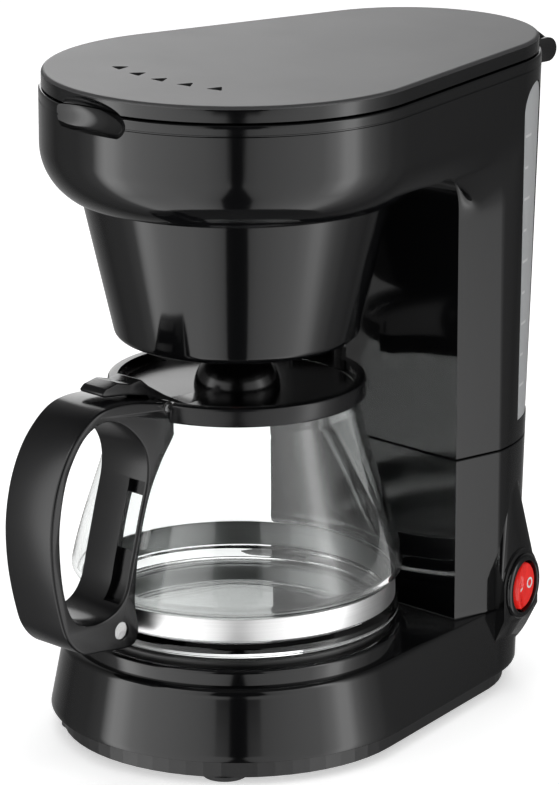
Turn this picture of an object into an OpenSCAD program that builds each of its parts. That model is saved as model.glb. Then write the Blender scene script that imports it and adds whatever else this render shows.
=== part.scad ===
// Drip coffee maker for about five cups: a round head over a glass jug, a column
// at the back that holds the water, and a base with a warming plate.
// Millimetres, +Z up, front of the machine towards -Y.  Each piece is drawn about
// the brew axis, which runs through funnel and jug; row() then brings the middle of
// the machine's depth over the origin, on the table.

/* [Body] */
// Height of the lid's top face above the table
body_h = 250; // [246:1:258]
// Radius of the round front of the head
head_r = 71.5; // [70:0.5:74]
// Radius of the round back, level with the rim
back_r = 50.5; // [49:0.5:52]
// Brew axis to the centre of the round back, level with the rim
back_y = 89.5; // [88:0.5:92]
// How far the back leans forward between the rim and the table
back_lean = 13.5; // [10:0.5:15]
// How much wider the back's radius is at the table than at the rim
back_flare = 2; // [1:0.5:3]
// Wall of the housings
wall = 2.4; // [2:0.1:2.8]
// Height of the joint between the two housings
seam_z = 97.5; // [94:0.5:102]
// Gap along every joint line that shows
seam_gap = 0.5; // [0.3:0.1:0.8]

/* [Head] */
// Rim of the head below the lid's top face
rim_drop = 6.5; // [6:0.5:8]
// Height of the head's upright side, from the rim down
side_h = 20.5; // [18:0.5:22]
// Radius of the curve from the head's side to its underside
bowl_r = 22; // [20:0.5:26]
// Height of the deck's underside below the rim
deck_drop = 33.5; // [32.5:0.5:34]
// Thickness of the deck that the basket rests on
deck_t = 3; // [2.5:0.1:3.5]
// Width of the thumb scoop at the front
scoop_w = 34; // [28:1:38]
// Depth of the thumb scoop into the head
scoop_d = 6.5; // [5:0.5:7]
// Height of the scoop's flat bottom edge below the rim
scoop_h = 5.5; // [4:0.5:7]

/* [Bay] */
// Brew axis to the column's front face
bay_y = 66.5; // [66:0.25:68]
// Radius of the bay's upper back corner
bay_corner = 17; // [14:0.5:18]
// Half width of the column's front face, between its cheeks
cheek_x = 48.5; // [46:0.5:49]
// Half width of the bay's ceiling where it meets the column
ceiling_x = 55; // [52:0.5:57]
// Brew axis to the crease at the back edge of each cheek
crease_y = 88; // [86:0.5:90]

/* [Base] */
// Height of the base's top face
base_h = 35; // [34:0.5:37]
// Radius of the base's front at its lower edge
base_r = 70; // [69:0.5:71]
// How far the base's side draws in towards its shoulder
base_draw = 4.5; // [3.5:0.5:5.5]
// Radius of the base's shoulder
shoulder_r = 3; // [2:0.5:4]
// Height of the base's lower edge
skirt_z = 8.5; // [7.5:0.5:10]
// Step in from the base's lower edge to the plinth
plinth_in = 4.5; // [4:0.5:6]
// Height of the feet below the plinth
foot_h = 1.5; // [1:0.1:2]
// Radius of a foot
foot_r = 8; // [6:0.5:9]

/* [Lid] */
// Lid's edge inside the head's edge
lid_in = 1; // [0.5:0.25:1.5]
// Radius along the lid's top edge
lid_edge = 1.6; // [1:0.2:2]
// Thickness of the lid's top
lid_t = 2.6; // [2:0.2:3]
// Length from the centre of a steam vent to its corners
vent_r = 3.2; // [2:0.2:4]
// Brew axis to the middle vent
vent_y = 36; // [32:1:42]
// Radius of the arc that the vents lie on
vent_arc = 91; // [70:1:120]
// Turn from one vent to the next
vent_step = 7.9; // [6.5:0.1:9]
// Number of steam vents
vents = 5; // [3:1:7]
// Radius of the lid's hinge pins
hinge_pin_r = 2; // [1.5:0.1:2.2]
// Wall of the knuckles round the hinge pins
knuckle_wall = 2.6; // [2.2:0.1:3]
// Centre line to the middle of a lid knuckle
knuckle_x = 14; // [12:0.5:17]
// Width of a lid knuckle
knuckle_w = 7; // [6:0.5:8]
// Thickness of the ears beside each knuckle
ear_t = 3; // [2.5:0.1:3.5]
// Hinge axis behind the back of the head
hinge_out = 6; // [5.5:0.25:7]
// Hinge axis below the rim
hinge_drop = 5.5; // [5:0.25:7]

/* [Funnel and basket] */
// Step in from the head's side to the funnel's top
funnel_in = 14.5; // [14:0.25:15]
// How far the funnel draws in towards its foot
funnel_draw = 12.5; // [11:0.5:14]
// Height of the funnel's lower face
funnel_z = 150; // [149.5:0.5:151]
// Radius along the funnel's lower edge
funnel_edge = 4; // [3:0.5:5]
// Height of the funnel's flange
flange_h = 5.2; // [4.5:0.1:5.8]
// Wall of the funnel and the basket
cup_wall = 1.8; // [1.6:0.1:2]
// Gap between the nested cups
nest_gap = 0.8; // [0.6:0.1:1]
// Thickness of the basket's and the filter's rims
rim_t = 2; // [1.6:0.1:2.4]
// Step in from the head's side to the basket's rim
basket_in = 10; // [9.5:0.5:11]
// Step in from the basket's wall to the filter's open top
filter_in = 8.4; // [6.4:0.5:10.4]
// How far the filter draws in towards its base
filter_draw = 14; // [12:0.5:17]
// Height of the filter's base above the basket's floor
filter_lift = 15; // [14:0.5:17]
// Thickness of the filter's mesh and frame
mesh_t = 1.2; // [1:0.1:1.4]
// Number of ribs round the filter
filter_ribs = 12; // [8:1:16]
// Radius of the drip valve's stem
stem_r = 2.4; // [2:0.1:2.6]
// How far the drip valve's stem stands below the funnel
stem_out = 2.4; // [2:0.1:2.6]
// Radius of the drip valve's head
valve_r = 5.6; // [5.2:0.1:6]
// Lift of the drip valve
valve_lift = 2.2; // [1.8:0.1:2.2]
// Radius of the wire of the valve's spring
spring_wire = 0.45; // [0.35:0.05:0.5]
// Number of turns of the valve's spring
spring_turns = 5; // [4:1:6]

/* [Water] */
// Thickness of the tank's floor
tank_floor = 4; // [3.5:0.5:5]
// Centre line to each water pipe
pipe_x = 24; // [22:0.5:26]
// Column's front face to the water pipes
pipe_in = 11.5; // [11:0.5:13]
// Outer radius of the riser
pipe_r = 3.6; // [3.2:0.1:3.8]
// Wall of the pipes and spigots
pipe_wall = 1; // [0.8:0.1:1.2]
// Wall of the hoses
hose_wall = 1.8; // [1.5:0.1:2.2]
// Radius of the bend in each hose
hose_bend = 10; // [8:0.5:11]
// Length of the check valve
check_h = 22; // [20:1:24]
// Radius of the check valve's ball
ball_r = 2.6; // [2.2:0.1:2.8]
// Travel of the check valve's ball
ball_lift = 2; // [1:0.1:2.5]
// Radius of the spray head
spray_r = 17; // [15:0.5:20]
// Height of the spray head
spray_h = 6; // [5:0.5:7]
// Width of the spray head's arm
arm_w = 13; // [11:0.5:15]
// Number of holes round the spray head
spray_holes = 8; // [6:1:10]

/* [Window] */
// Turn of the level window round the back, from the side
window_turn = 27; // [24:1:30]
// Width of the level window
window_w = 23; // [18:1:24]
// Height of the window's lower end above the seam
window_up = 8; // [7:0.5:12]
// Height of the window's upper end below the rim
window_down = 9; // [8:0.5:14]

/* [Heater] */
// Step in from the base's shoulder to the ring round the warming plate
ring_in = 0.5; // [0.25:0.25:1]
// Width of that ring, out from the plate
ring_w = 5; // [4.5:0.25:5.5]
// Width of the ledge under the plate's edge
plate_ledge = 5; // [4.5:0.5:5.5]
// Thickness of the warming plate
plate_t = 1.4; // [1.2:0.1:1.6]
// Depth of the warming plate's turned rim
plate_rim = 5.5; // [5:0.1:6]
// Height of the ring above the base
ring_h = 6; // [5.5:0.1:6.5]
// Thickness of the plate's seal
gasket_t = 1.4; // [1.2:0.1:1.6]
// Step in from the plate's ledge to the heater's loop
heater_in = 14; // [13:0.5:16]
// Radius of the heater's water tube
heater_tube_r = 5; // [4.6:0.1:5.2]
// Thickness of the strap that holds the heater
strap_t = 1.6; // [1.4:0.1:2]
// Width of the strap that holds the heater
strap_w = 16; // [14:1:18]
// Radius of a screw's shank
screw_r = 1.6; // [1.4:0.1:1.8]

/* [Switch] */
// Centre line to the middle of the switch's face
switch_x = 54.5; // [54:0.25:56]
// Brew axis to the middle of the switch's face, towards the back
switch_y = 99.8; // [98:0.25:101]
// Height of the switch
switch_z = 42; // [41:0.5:44]
// Turn of the switch's face from the side towards the back
switch_turn = 15; // [12:1:20]
// Radius of the switch's bezel
bezel_r = 12.5; // [12.3:0.1:13]
// Depth of the switch's body behind its face
switch_d = 20; // [18:0.5:22]
// Radius of the rocker
rocker_r = 9; // [8.6:0.1:9.1]
// Depth of the rocker
rocker_d = 5.2; // [4.8:0.1:5.6]
// Half of the rocker's travel
rock = 8; // [6:0.5:9]

/* [Jug] */
// Largest radius of the glass
glass_r = 62; // [60.5:0.25:62.5]
// Radius of the glass at its foot
foot_glass_r = 60; // [59.5:0.25:60.5]
// Radius of the glass under the steel band
waist_r = 58; // [57:0.25:58.25]
// Radius of the glass at its neck
neck_r = 45; // [44:0.25:45.5]
// Thickness of the glass
glass_t = 2.2; // [1.8:0.1:2.4]
// Height of the glass
glass_h = 87; // [86:0.5:88]
// Height of the steel band
band_h = 8.5; // [8:0.25:9]
// Thickness of the steel band
band_t = 0.6; // [0.5:0.05:0.8]
// Height of the band above the jug's foot
band_up = 7; // [6.5:0.25:7.5]
// Radius of the handle's collar
collar_r = 47.6; // [47.4:0.1:48.2]
// Height of the collar
collar_h = 7; // [6.5:0.25:7.5]
// Reach of the pouring spout beyond the collar
spout_out = 7; // [5:0.5:9]
// Width of the handle
handle_w = 25; // [22:0.5:26]
// Brew axis to the handle's outer face
handle_reach = 104; // [102:0.5:107]
// Radius of the jug lid's dome
dome_r = 16; // [14:0.5:18]
// Height of the jug lid's dome above the collar
dome_h = 10; // [8:0.5:10]
// Radius of the jug lid's hinge pin
lid_pin_r = 1.5; // [1.2:0.1:1.7]
// Width of the jug lid's thumb tab
tab_w = 12; // [10:0.5:13]

/* [Fits] */
// Running clearance of a pin in its hole
run_gap = 0.06; // [0.03:0.01:0.09]
// Clearance between pieces that lie side by side
fit_gap = 0.3; // [0.25:0.01:0.35]

/* [Hidden] */
$fn = 64;

abs_black = "#1c1d1f";
soft_black = "#2b2c2e";
steel = "#b9bcc0";
clear = [0.8, 0.85, 0.88, 0.4];

// Facets along each arc of a plan outline
front_n = 36;
rear_n = 24;
// Turn at which the round back takes over from the straight flank
rear_turn = 16;
// Thickness that a cut runs past a face
past = 1;

// Heights
rim_z = body_h - rim_drop;
deck_z = rim_z - deck_drop;
deck_top = deck_z + deck_t;
bowl_z = rim_z - side_h;
lid_z = rim_z + seam_gap;
ring_z = base_h + ring_h;
ledge_t = 1.6;
gasket_z = base_h + ledge_t;
plate_z = gasket_z + gasket_t + plate_rim;
jug_z = plate_z + fit_gap;
band_z = jug_z + band_up;
glass_top = jug_z + glass_h;
collar_z = glass_top - collar_h + pipe_wall * 4;
cover_z = foot_h + wall;
tank_z = seam_z + seam_gap / 2 + tank_floor;

// Sizes that follow the head and the base
funnel_top_r = head_r - funnel_in;
funnel_foot_r = funnel_top_r - funnel_draw;
basket_rim_r = head_r - basket_in;
ring_r = base_r - base_draw - shoulder_r - ring_in;
plate_r = ring_r - ring_w;
plate_hole_r = plate_r - plate_ledge;
heater_r = plate_hole_r - heater_in;

// The round back leans and widens from the rim down
function lean_y(z) = back_y - back_lean * (rim_z - z) / rim_z;
function lean_r(z) = back_r + back_flare * (rim_z - z) / rim_z;

// Brew axis to the lid hinge, and the machine's middle
hinge_y = back_y + back_r + hinge_out;
hinge_z = rim_z - hinge_drop;
knuckle_r = hinge_pin_r + knuckle_wall;
row_y = (handle_reach - hinge_y - knuckle_r) / 2;

// Back of the rim at x from the centre line
function rim_back(x) = back_y + sqrt(back_r * back_r - x * x);

// How far the head's side has curved in at height z
function bowl_in(z) = z > bowl_z ? 0 : bowl_r - sqrt(bowl_r * bowl_r - pow(bowl_z - z, 2));

// Points along an arc about (0, y), from angle a0 to a1
function arc(r, y, a0, a1, n) =
    [for (i = [0 : n]) let (t = a0 + (a1 - a0) * i / n) [r * cos(t), y + r * sin(t)]];
// The point of the line from p to q that lies at y
function flank(p, q, y) = p + (q - p) * (y - p[1]) / (q[1] - p[1]);
function last(v) = v[len(v) - 1];

// Plan of the head, the lid and the base: a round front of radius r, straight
// flanks, and a round back of radius s about (0, y)
function head_plan(r, s, y) =
    let (a = asin((r - s) / y),
         f = arc(r, 0, 180 - a, 360 + a, front_n),
         b = arc(s, y, rear_turn, 180 - rear_turn, rear_n))
    concat([flank(last(b), f[0], crease_y)], f, [flank(last(f), b[0], crease_y)], b);

// Plan of the column: a flat front of half width w at y_front, a cheek at each side
// back to the crease, and a round back of radius s about (0, y)
function column_plan(w, y_front, s, y) =
    let (c = sqrt(s * s - pow(crease_y - y, 2)))
    concat([[-c, crease_y]],
           [for (i = [0 : front_n]) [w * (2 * i / front_n - 1), y_front]],
           [[c, crease_y]],
           arc(s, y, rear_turn, 180 - rear_turn, rear_n));

// Solid through plan outlines: each ring is [height, points], lowest first
module loft(rings) {
    n = len(rings[0][1]);
    k = len(rings);
    points = [for (r = rings) for (p = r[1]) [p[0], p[1], r[0]]];
    sides = [for (j = [0 : k - 2]) for (i = [0 : n - 1])
        let (a = j * n + i, b = j * n + (i + 1) % n)
        for (t = [[a, a + n, b + n], [a, b + n, b]]) t];
    caps = [[for (i = [0 : n - 1]) i], [for (i = [n - 1 : -1 : 0]) (k - 1) * n + i]];
    polyhedron(points, concat(sides, caps), convexity = 6);
}

// A piece drawn about the brew axis, set in the machine's own frame
module row() {
    translate([0, row_y, 0]) children();
}

module mirrored() {
    children();
    mirror([1, 0, 0]) children();
}

// Tube about Z from z0 to z1
module tube(r, wall_t, z0, z1) {
    translate([0, 0, z0]) difference() {
        cylinder(r = r, h = z1 - z0);
        translate([0, 0, -past]) cylinder(r = r - wall_t, h = z1 - z0 + 2 * past);
    }
}

// Disc about Z from z0 to z1
module disc(r, z0, z1) {
    translate([0, 0, z0]) cylinder(r = r, h = z1 - z0);
}

// Pin or bore along X at [y, z], from x0 to x1
module along_x(r, y, z, x0, x1) {
    translate([x0, y, z]) rotate([0, 90, 0]) cylinder(r = r, h = x1 - x0);
}

// Box from corner a to corner b
module box(a, b) {
    translate(a) cube(b - a);
}

// ---- Head --------------------------------------------------------------------

scoop_r = (scoop_w * scoop_w / 4 + scoop_d * scoop_d) / (2 * scoop_d);

// The thumb scoop, grown by g, from z0 to z1
module scoop(g, z0, z1) {
    translate([0, -head_r - scoop_r + scoop_d, 0]) disc(scoop_r + g, z0, z1);
}

module lid_rings(z0, z1) {
    steps = 4;
    loft(concat([[z0, head_plan(head_r - lid_in, back_r - lid_in, back_y)]],
        [for (i = [0 : steps]) let (t = 90 * i / steps, d = lid_in + lid_edge * (1 - cos(t)))
            [z1 - lid_edge * (1 - sin(t)), head_plan(head_r - d, back_r - d, back_y)]]));
}

// Reach of the baffle under the lid that keeps steam over the basket
baffle_r = basket_rim_r;
baffle_h = 4;

module top_lid() {
    color(soft_black) row() difference() {
        union() {
            difference() {
                lid_rings(lid_z, body_h);
                translate([0, 0, lid_z - past])
                    linear_extrude(body_h - lid_t - lid_z + past)
                    polygon(head_plan(head_r - lid_in - wall, back_r - lid_in - wall, back_y));
            }
            tube(baffle_r, wall / 2, lid_z - baffle_h, body_h - lid_t);
            intersection() {
                scoop(wall, lid_z, body_h - lid_edge);
                lid_rings(lid_z, body_h);
            }
            mirrored() lid_knuckle();
        }
        scoop(0, lid_z - past, body_h + past);
        for (i = [0 : vents - 1]) vent((i - (vents - 1) / 2) * vent_step);
        mirrored() along_x(hinge_pin_r + run_gap, hinge_y, hinge_z,
            knuckle_x - knuckle_w, knuckle_x + knuckle_w);
    }
}

// One three-cornered steam vent, pointing to the front
module vent(turn) {
    translate([0, vent_arc - vent_y, 0]) rotate([0, 0, turn])
        translate([0, -vent_arc, lid_z]) rotate([0, 0, -90])
        cylinder(r = vent_r, h = body_h, $fn = 3);
}

// Arm from the lid's back edge down to its hinge pin
module lid_knuckle() {
    x1 = knuckle_x + knuckle_w / 2;
    y0 = rim_back(x1) - 2 * wall;
    tip = 0.8 * knuckle_r;
    along_x(knuckle_r, hinge_y, hinge_z, x1 - knuckle_w, x1);
    translate([knuckle_x, 0, 0]) across(knuckle_w) polygon([[y0, lid_z],
        [hinge_y - knuckle_r, lid_z], [hinge_y - knuckle_r, hinge_z], [hinge_y, hinge_z],
        [hinge_y + tip * cos(55), hinge_z + tip * sin(55)],
        [rim_back(x1) + lid_edge, body_h - lid_edge], [y0, body_h - lid_edge]]);
}

ear_x0 = knuckle_x - knuckle_w / 2 - fit_gap - ear_t;
ear_x1 = knuckle_x + knuckle_w / 2 + fit_gap;

module hinge_ear(x0) {
    along_x(knuckle_r, hinge_y, hinge_z, x0, x0 + ear_t);
    box([x0, rim_back(x0 + ear_t) - wall, hinge_z - knuckle_r],
        [x0 + ear_t, hinge_y, hinge_z + knuckle_r - fit_gap]);
}

module lid_hinge_pins() {
    color(steel) row() mirrored()
        along_x(hinge_pin_r, hinge_y, hinge_z, ear_x0 + fit_gap, ear_x1 + ear_t - fit_gap);
}

// ---- Upper housing -----------------------------------------------------------

// Fraction of the bay's corner, 0 at the column's face and 1 at the ceiling
function corner_ring(t) =
    let (a = 90 * t)
    [deck_z - bay_corner * (1 - sin(a)),
     column_plan(cheek_x + (ceiling_x - cheek_x) * (1 - cos(a)),
        bay_y - bay_corner * (1 - cos(a)),
        lean_r(deck_z - bay_corner * (1 - sin(a))),
        lean_y(deck_z - bay_corner * (1 - sin(a))))];

module upper_outside() {
    corner_n = 6;
    bowl_n = 6;
    z0 = seam_z + seam_gap / 2;
    loft(concat(
        [[z0, column_plan(cheek_x, bay_y, lean_r(z0), lean_y(z0))]],
        [for (i = [0 : corner_n]) corner_ring(i / corner_n)],
        [for (i = [0 : bowl_n]) let (z = deck_z + (bowl_z - deck_z) * i / bowl_n)
            [z, head_plan(head_r - bowl_in(z), lean_r(z), lean_y(z))]],
        [[rim_z, head_plan(head_r, back_r, back_y)]]));
}

// The column's inside, drawn in by t, from z0 to z1
module column_inside(t, z0, z1) {
    loft([for (z = [z0, z1])
        [z, column_plan(cheek_x - t, bay_y + t, lean_r(z) - t, lean_y(z))]]);
}

module upper_housing() {
    lip = 3;
    z0 = seam_z + seam_gap / 2;
    color(abs_black) row() difference() {
        union() {
            difference() {
                upper_outside();
                basket_well();
                column_inside(wall, tank_z, rim_z + past);
            }
            intersection() {
                scoop(seam_gap + wall, rim_z - scoop_h - wall, rim_z);
                upper_outside();
            }
            difference() {
                column_inside(wall + fit_gap, z0 - lip, z0 + tank_floor / 2);
                lip_hollow(z0 - lip - past, z0);
            }
            mirrored() {
                hinge_ear(ear_x0);
                hinge_ear(ear_x1);
            }
            translate([pipe_x, pipe_y, 0]) disc(spigot_r, tank_spigot_z, tank_z);
        }
        scoop(seam_gap, rim_z - scoop_h, rim_z + past);
        disc(well_r, deck_z - past, deck_top + past);
        disc(funnel_top_r + fit_gap, funnel_top - past, deck_z);
        mirrored() along_x(hinge_pin_r, hinge_y, hinge_z, ear_x0 - past, ear_x1 + ear_t + past);
        translate([pipe_x, pipe_y, 0])
            disc(spigot_r - pipe_wall, tank_spigot_z - past, tank_z + past);
        translate([-pipe_x, pipe_y, 0]) disc(seal_r, z0 - lip - past, tank_z + past);
        arm_notch();
        window_bar(0, back_r - back_lean, back_r + past);
        hinge_room();
    }
}

// Room behind the rim in which the lid's arms turn
module hinge_room() {
    mirrored() box([ear_x0 + ear_t, hinge_y - knuckle_r - fit_gap, hinge_z - knuckle_r - fit_gap],
        [ear_x1, hinge_y + knuckle_r, rim_z + past]);
}

// The lip that locates the housings is open in the middle
module lip_hollow(z0, z1) {
    loft([for (z = [z0, z1])
        [z, column_plan(cheek_x - 2 * wall, bay_y + 2 * wall, lean_r(z) - 2 * wall, lean_y(z))]]);
}

// Head room over the deck, in front of the tank
module basket_well() {
    inset = 2 * wall;
    translate([0, 0, deck_top]) linear_extrude(rim_z)
        intersection() {
            polygon(head_plan(head_r - inset, back_r - inset, back_y));
            translate([-head_r, -head_r]) square([2 * head_r, head_r + bay_y]);
        }
}

// The opening for the level window, or with g > 0 the window's own outline
module window_bar(g, r0, r1) {
    w = window_w - 2 * g;
    z0 = seam_z + window_up + g;
    z1 = rim_z - window_down - g;
    translate([0, back_y, 0]) rotate([0, 0, window_turn]) translate([r0, 0, 0])
        rotate([90, 0, 90]) linear_extrude(r1 - r0) {
            translate([-w / 2, z0]) square([w, z1 - w / 2 - z0]);
            translate([0, z1 - w / 2]) circle(r = w / 2);
        }
}

module level_window() {
    recess = 0.4;
    z0 = seam_z + window_up - past;
    z1 = rim_z - window_down + past;
    color(clear) row() intersection() {
        difference() {
            column_inside(recess, z0, z1);
            column_inside(wall, z0 - past, z1 + past);
        }
        window_bar(fit_gap, back_r - back_lean, back_r + past);
    }
}

// ---- Funnel, basket and filter -----------------------------------------------

funnel_top = deck_z - flange_h;
basket_r = funnel_top_r - cup_wall - nest_gap;
well_r = basket_r + nest_gap;
filter_r = basket_r - filter_in;
filter_foot_r = filter_r - filter_draw;
spout_hole_r = valve_r + 2 * cup_wall + nest_gap;

// Radius of the funnel's outside at height z
function funnel_r(z) = funnel_foot_r
    + (funnel_top_r - funnel_foot_r) * (z - funnel_z - funnel_edge) / (funnel_top - funnel_z - funnel_edge);
// Quarter round at the foot of a cup of radius r, on the floor z, with edge radius e
function cup_edge(r, z, e) = [for (i = [0 : 4]) let (t = 90 * i / 4)
    [r - e + e * sin(t), z + e - e * cos(t)]];

module brew_funnel() {
    edge_n = 6;
    inner_e = funnel_edge - cup_wall;
    color(abs_black) row() difference() {
        rotate_extrude() polygon(concat(
            [[spout_hole_r, funnel_z]],
            cup_edge(funnel_foot_r, funnel_z, funnel_edge),
            [[funnel_top_r, funnel_top]],
            [for (i = [0 : edge_n]) let (z = funnel_top + flange_h * i / edge_n)
                [head_r - bowl_in(z), z]],
            [[well_r, deck_z], [well_r, funnel_top]],
            [for (i = [4 : -1 : 0])
                cup_edge(funnel_foot_r - cup_wall, funnel_z + cup_wall, inner_e)[i]],
            [[spout_hole_r, funnel_z + cup_wall]]));
        difference() {
            box([-head_r, bay_y - bay_corner - fit_gap, funnel_top - past],
                [head_r, head_r, deck_z + past]);
            disc(funnel_top_r, funnel_top - 2 * past, deck_z + 2 * past);
        }
    }
}

basket_z = funnel_z + cup_wall + nest_gap;
basket_floor = basket_z + cup_wall;
basket_foot_r = funnel_foot_r - cup_wall - nest_gap;
cage_top = basket_floor + filter_lift - nest_gap;
seat_z = funnel_z + cup_wall;

module filter_basket() {
    color(soft_black) row() {
        difference() {
            rotate_extrude() polygon(concat(
                [[valve_r, basket_z]],
                cup_edge(basket_foot_r, basket_z, funnel_edge - cup_wall),
                [[basket_r, funnel_top], [basket_r, deck_top + fit_gap],
                 [basket_rim_r, deck_top + fit_gap], [basket_rim_r, deck_top + fit_gap + rim_t],
                 [basket_r - cup_wall, deck_top + fit_gap + rim_t],
                 [basket_r - cup_wall, funnel_top],
                 [basket_foot_r - cup_wall, basket_floor + cup_wall],
                 [basket_foot_r - 2 * cup_wall, basket_floor],
                 [valve_r, basket_floor]]));
            basket_thumb_cuts();
        }
        valve_cage();
    }
}

// Finger notches in the basket's rim, front and sides
module basket_thumb_cuts() {
    for (turn = [180, 270, 360]) rotate([0, 0, turn])
        translate([basket_rim_r + rim_t, 0, 0]) disc(6, deck_top, deck_top + 2 * rim_t);
}

// Spout with the valve's seat, and the slotted cage over the valve's spring
module valve_cage() {
    slot_w = 3;
    difference() {
        union() {
            disc(valve_r + cup_wall, funnel_z, basket_z + cup_wall);
            tube(valve_r + cup_wall, cup_wall, basket_floor - fit_gap, cage_top);
            disc(valve_r + cup_wall, cage_top - cup_wall, cage_top);
        }
        disc(valve_r - cup_wall, funnel_z - past, seat_z + past);
        disc(valve_r + run_gap, seat_z, cage_top - cup_wall);
        for (turn = [0 : 60 : 300]) rotate([0, 0, turn])
            box([valve_r - 1, -slot_w / 2, basket_floor],
                [valve_r + 2 * cup_wall, slot_w / 2, cage_top - 2 * cup_wall]);
    }
}

filter_z = basket_floor + filter_lift;
filter_top = deck_top + fit_gap + rim_t + fit_gap;

module permanent_filter() {
    rib_w = 1.4;
    color("#3a3b3d") row() {
        difference() {
            union() {
                disc(filter_foot_r, filter_z, filter_z + mesh_t);
                translate([0, 0, filter_z]) cylinder(r1 = filter_foot_r, r2 = filter_r,
                    h = filter_top - filter_z);
                disc(basket_r + rim_t, filter_top, filter_top + rim_t);
            }
            translate([0, 0, filter_z + mesh_t]) cylinder(r1 = filter_foot_r - mesh_t,
                r2 = filter_r - mesh_t, h = filter_top - filter_z - mesh_t);
            disc(filter_r - mesh_t, filter_top - fit_gap, filter_top + rim_t + past);
        }
        for (i = [1 : filter_ribs]) rotate([0, 0, 360 * i / filter_ribs])
            rotate([90, 0, 0]) translate([0, 0, -rib_w / 2]) linear_extrude(rib_w)
            polygon([[filter_foot_r - mesh_t, filter_z + mesh_t],
                [filter_foot_r - mesh_t, filter_z], [filter_foot_r + mesh_t, filter_z],
                [filter_r + mesh_t, filter_top], [filter_r - mesh_t / 2, filter_top]]);
    }
}

stem_z = funnel_z - stem_out;
head_h = 3;

module drip_valve() {
    color("#8a3b2e") row() {
        disc(stem_r, stem_z + stem_r / 3, seat_z + head_h);
        translate([0, 0, stem_z]) cylinder(r1 = stem_r * 2 / 3, r2 = stem_r, h = stem_r / 3);
        disc(valve_r, seat_z + run_gap, seat_z + head_h);
        disc(stem_r, seat_z + head_h - run_gap, seat_z + head_h + valve_lift);
    }
}

module valve_spring() {
    z0 = seat_z + head_h + spring_wire;
    z1 = cage_top - cup_wall - spring_wire;
    n = 14;
    sides = 6;
    r = valve_r - spring_wire - 2 * fit_gap;
    k = spring_turns * n;
    points = [for (i = [0 : k]) for (j = [0 : sides - 1])
        let (t = 360 * i / n, a = 360 * j / sides, q = r + spring_wire * cos(a))
        [q * cos(t), q * sin(t), z0 + (z1 - z0) * i / k + spring_wire * sin(a)]];
    skin = [for (i = [0 : k - 1]) for (j = [0 : sides - 1])
        let (a = i * sides + j, b = i * sides + (j + 1) % sides)
        for (t = [[a, b + sides, a + sides], [a, b, b + sides]]) t];
    caps = [[for (j = [sides - 1 : -1 : 0]) j], [for (j = [0 : sides - 1]) k * sides + j]];
    color(steel) row() polyhedron(points, concat(skin, caps), convexity = 10);
}

// ---- Water way ---------------------------------------------------------------

pipe_y = bay_y + pipe_in;
spigot_r = pipe_r;
hose_r = pipe_r + hose_wall;
seal_r = hose_r;
tank_spigot_z = seam_z - 2 * tank_floor;
spray_z = lid_z - baffle_h - past - spray_h;
riser_z = seam_z - 3 * tank_floor;

// A piece on one of the two water pipes: side is 1 for the inlet, -1 for the outlet
module at_pipe(side) {
    translate([side * pipe_x, pipe_y, 0]) children();
}

// Room in the tank's front wall for the spray head's arm
module arm_notch() {
    x = -pipe_x * bay_y / pipe_y;
    w = arm_w / 2 + 2;
    box([x - w, bay_y - past, spray_z - fit_gap], [x + w, bay_y + 2 * wall, rim_z + past]);
}

module spray_head() {
    hole_r = 1.4;
    channel = 2 * pipe_r - pipe_wall * 2;
    color(soft_black) row() difference() {
        union() {
            translate([0, 0, spray_z]) linear_extrude(spray_h) hull() {
                translate([-pipe_x, pipe_y]) circle(r = arm_w / 2, $fn = 32);
                circle(r = arm_w / 2, $fn = 32);
            }
            disc(spray_r, spray_z, spray_z + spray_h);
        }
        at_pipe(-1) disc(pipe_r, spray_z - past, spray_z + spray_h - 2 * pipe_wall);
        disc(spray_r - 2 * pipe_wall, spray_z + pipe_wall, spray_z + spray_h - pipe_wall);
        translate([0, 0, spray_z + spray_h / 2])
            rotate([-90, 0, atan2(pipe_x, pipe_y)]) cylinder(r = channel / 3, h = pipe_y);
        for (i = [1 : spray_holes]) rotate([0, 0, 360 * i / spray_holes])
            translate([spray_r * 2 / 3, 0, 0]) disc(hole_r, spray_z - past, spray_z + 2 * pipe_wall);
    }
}

module riser_tube() {
    color("#d8d8d2") row() at_pipe(-1)
        tube(pipe_r, pipe_wall, riser_z, spray_z + spray_h - 2 * pipe_wall);
}

// Grommet round the riser in the tank's floor, and ring under the outlet's spigot
module tank_seals() {
    lip = 1.2;
    z0 = tank_z - tank_floor;
    color("#77787a") row() {
        at_pipe(-1) difference() {
            union() {
                disc(seal_r, z0 - lip, tank_z + lip);
                disc(seal_r + lip, tank_z, tank_z + lip);
            }
            disc(pipe_r, z0 - 2 * lip, tank_z + 2 * lip);
        }
        at_pipe(1) tube(pipe_r + pipe_wall, pipe_wall, tank_spigot_z + tank_floor / 2,
            tank_spigot_z + tank_floor / 2 + lip);
    }
}

check_top = tank_spigot_z + tank_floor / 2;
check_z = check_top - check_h;
ball_seat = check_z + check_h / 3;
ball_hole = ball_r * 2 / 3;
ball_z = ball_seat + sqrt(ball_r * ball_r - ball_hole * ball_hole) + run_gap;

module check_valve_body() {
    color("#d8d8d2") row() at_pipe(1) difference() {
        union() {
            disc(pipe_r + pipe_wall, check_z + check_h / 4, check_top);
            disc(pipe_r, check_z, check_z + check_h / 3);
        }
        disc(pipe_r, tank_spigot_z, check_top + past);
        disc(ball_hole, check_z - past, check_top);
        disc(ball_r + fit_gap, ball_seat, ball_z + ball_r + ball_lift);
    }
}

module check_ball() {
    color(steel) row() at_pipe(1) translate([0, 0, ball_z]) sphere(r = ball_r);
}

cast_t = 13;
heater_z = plate_z - plate_t - cast_t - heater_tube_r + pipe_wall * 2;
heater_turn = acos(pipe_x / heater_r);
nipple_y = heater_r * sin(heater_turn);
hose_y = plate_hole_r;

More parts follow.
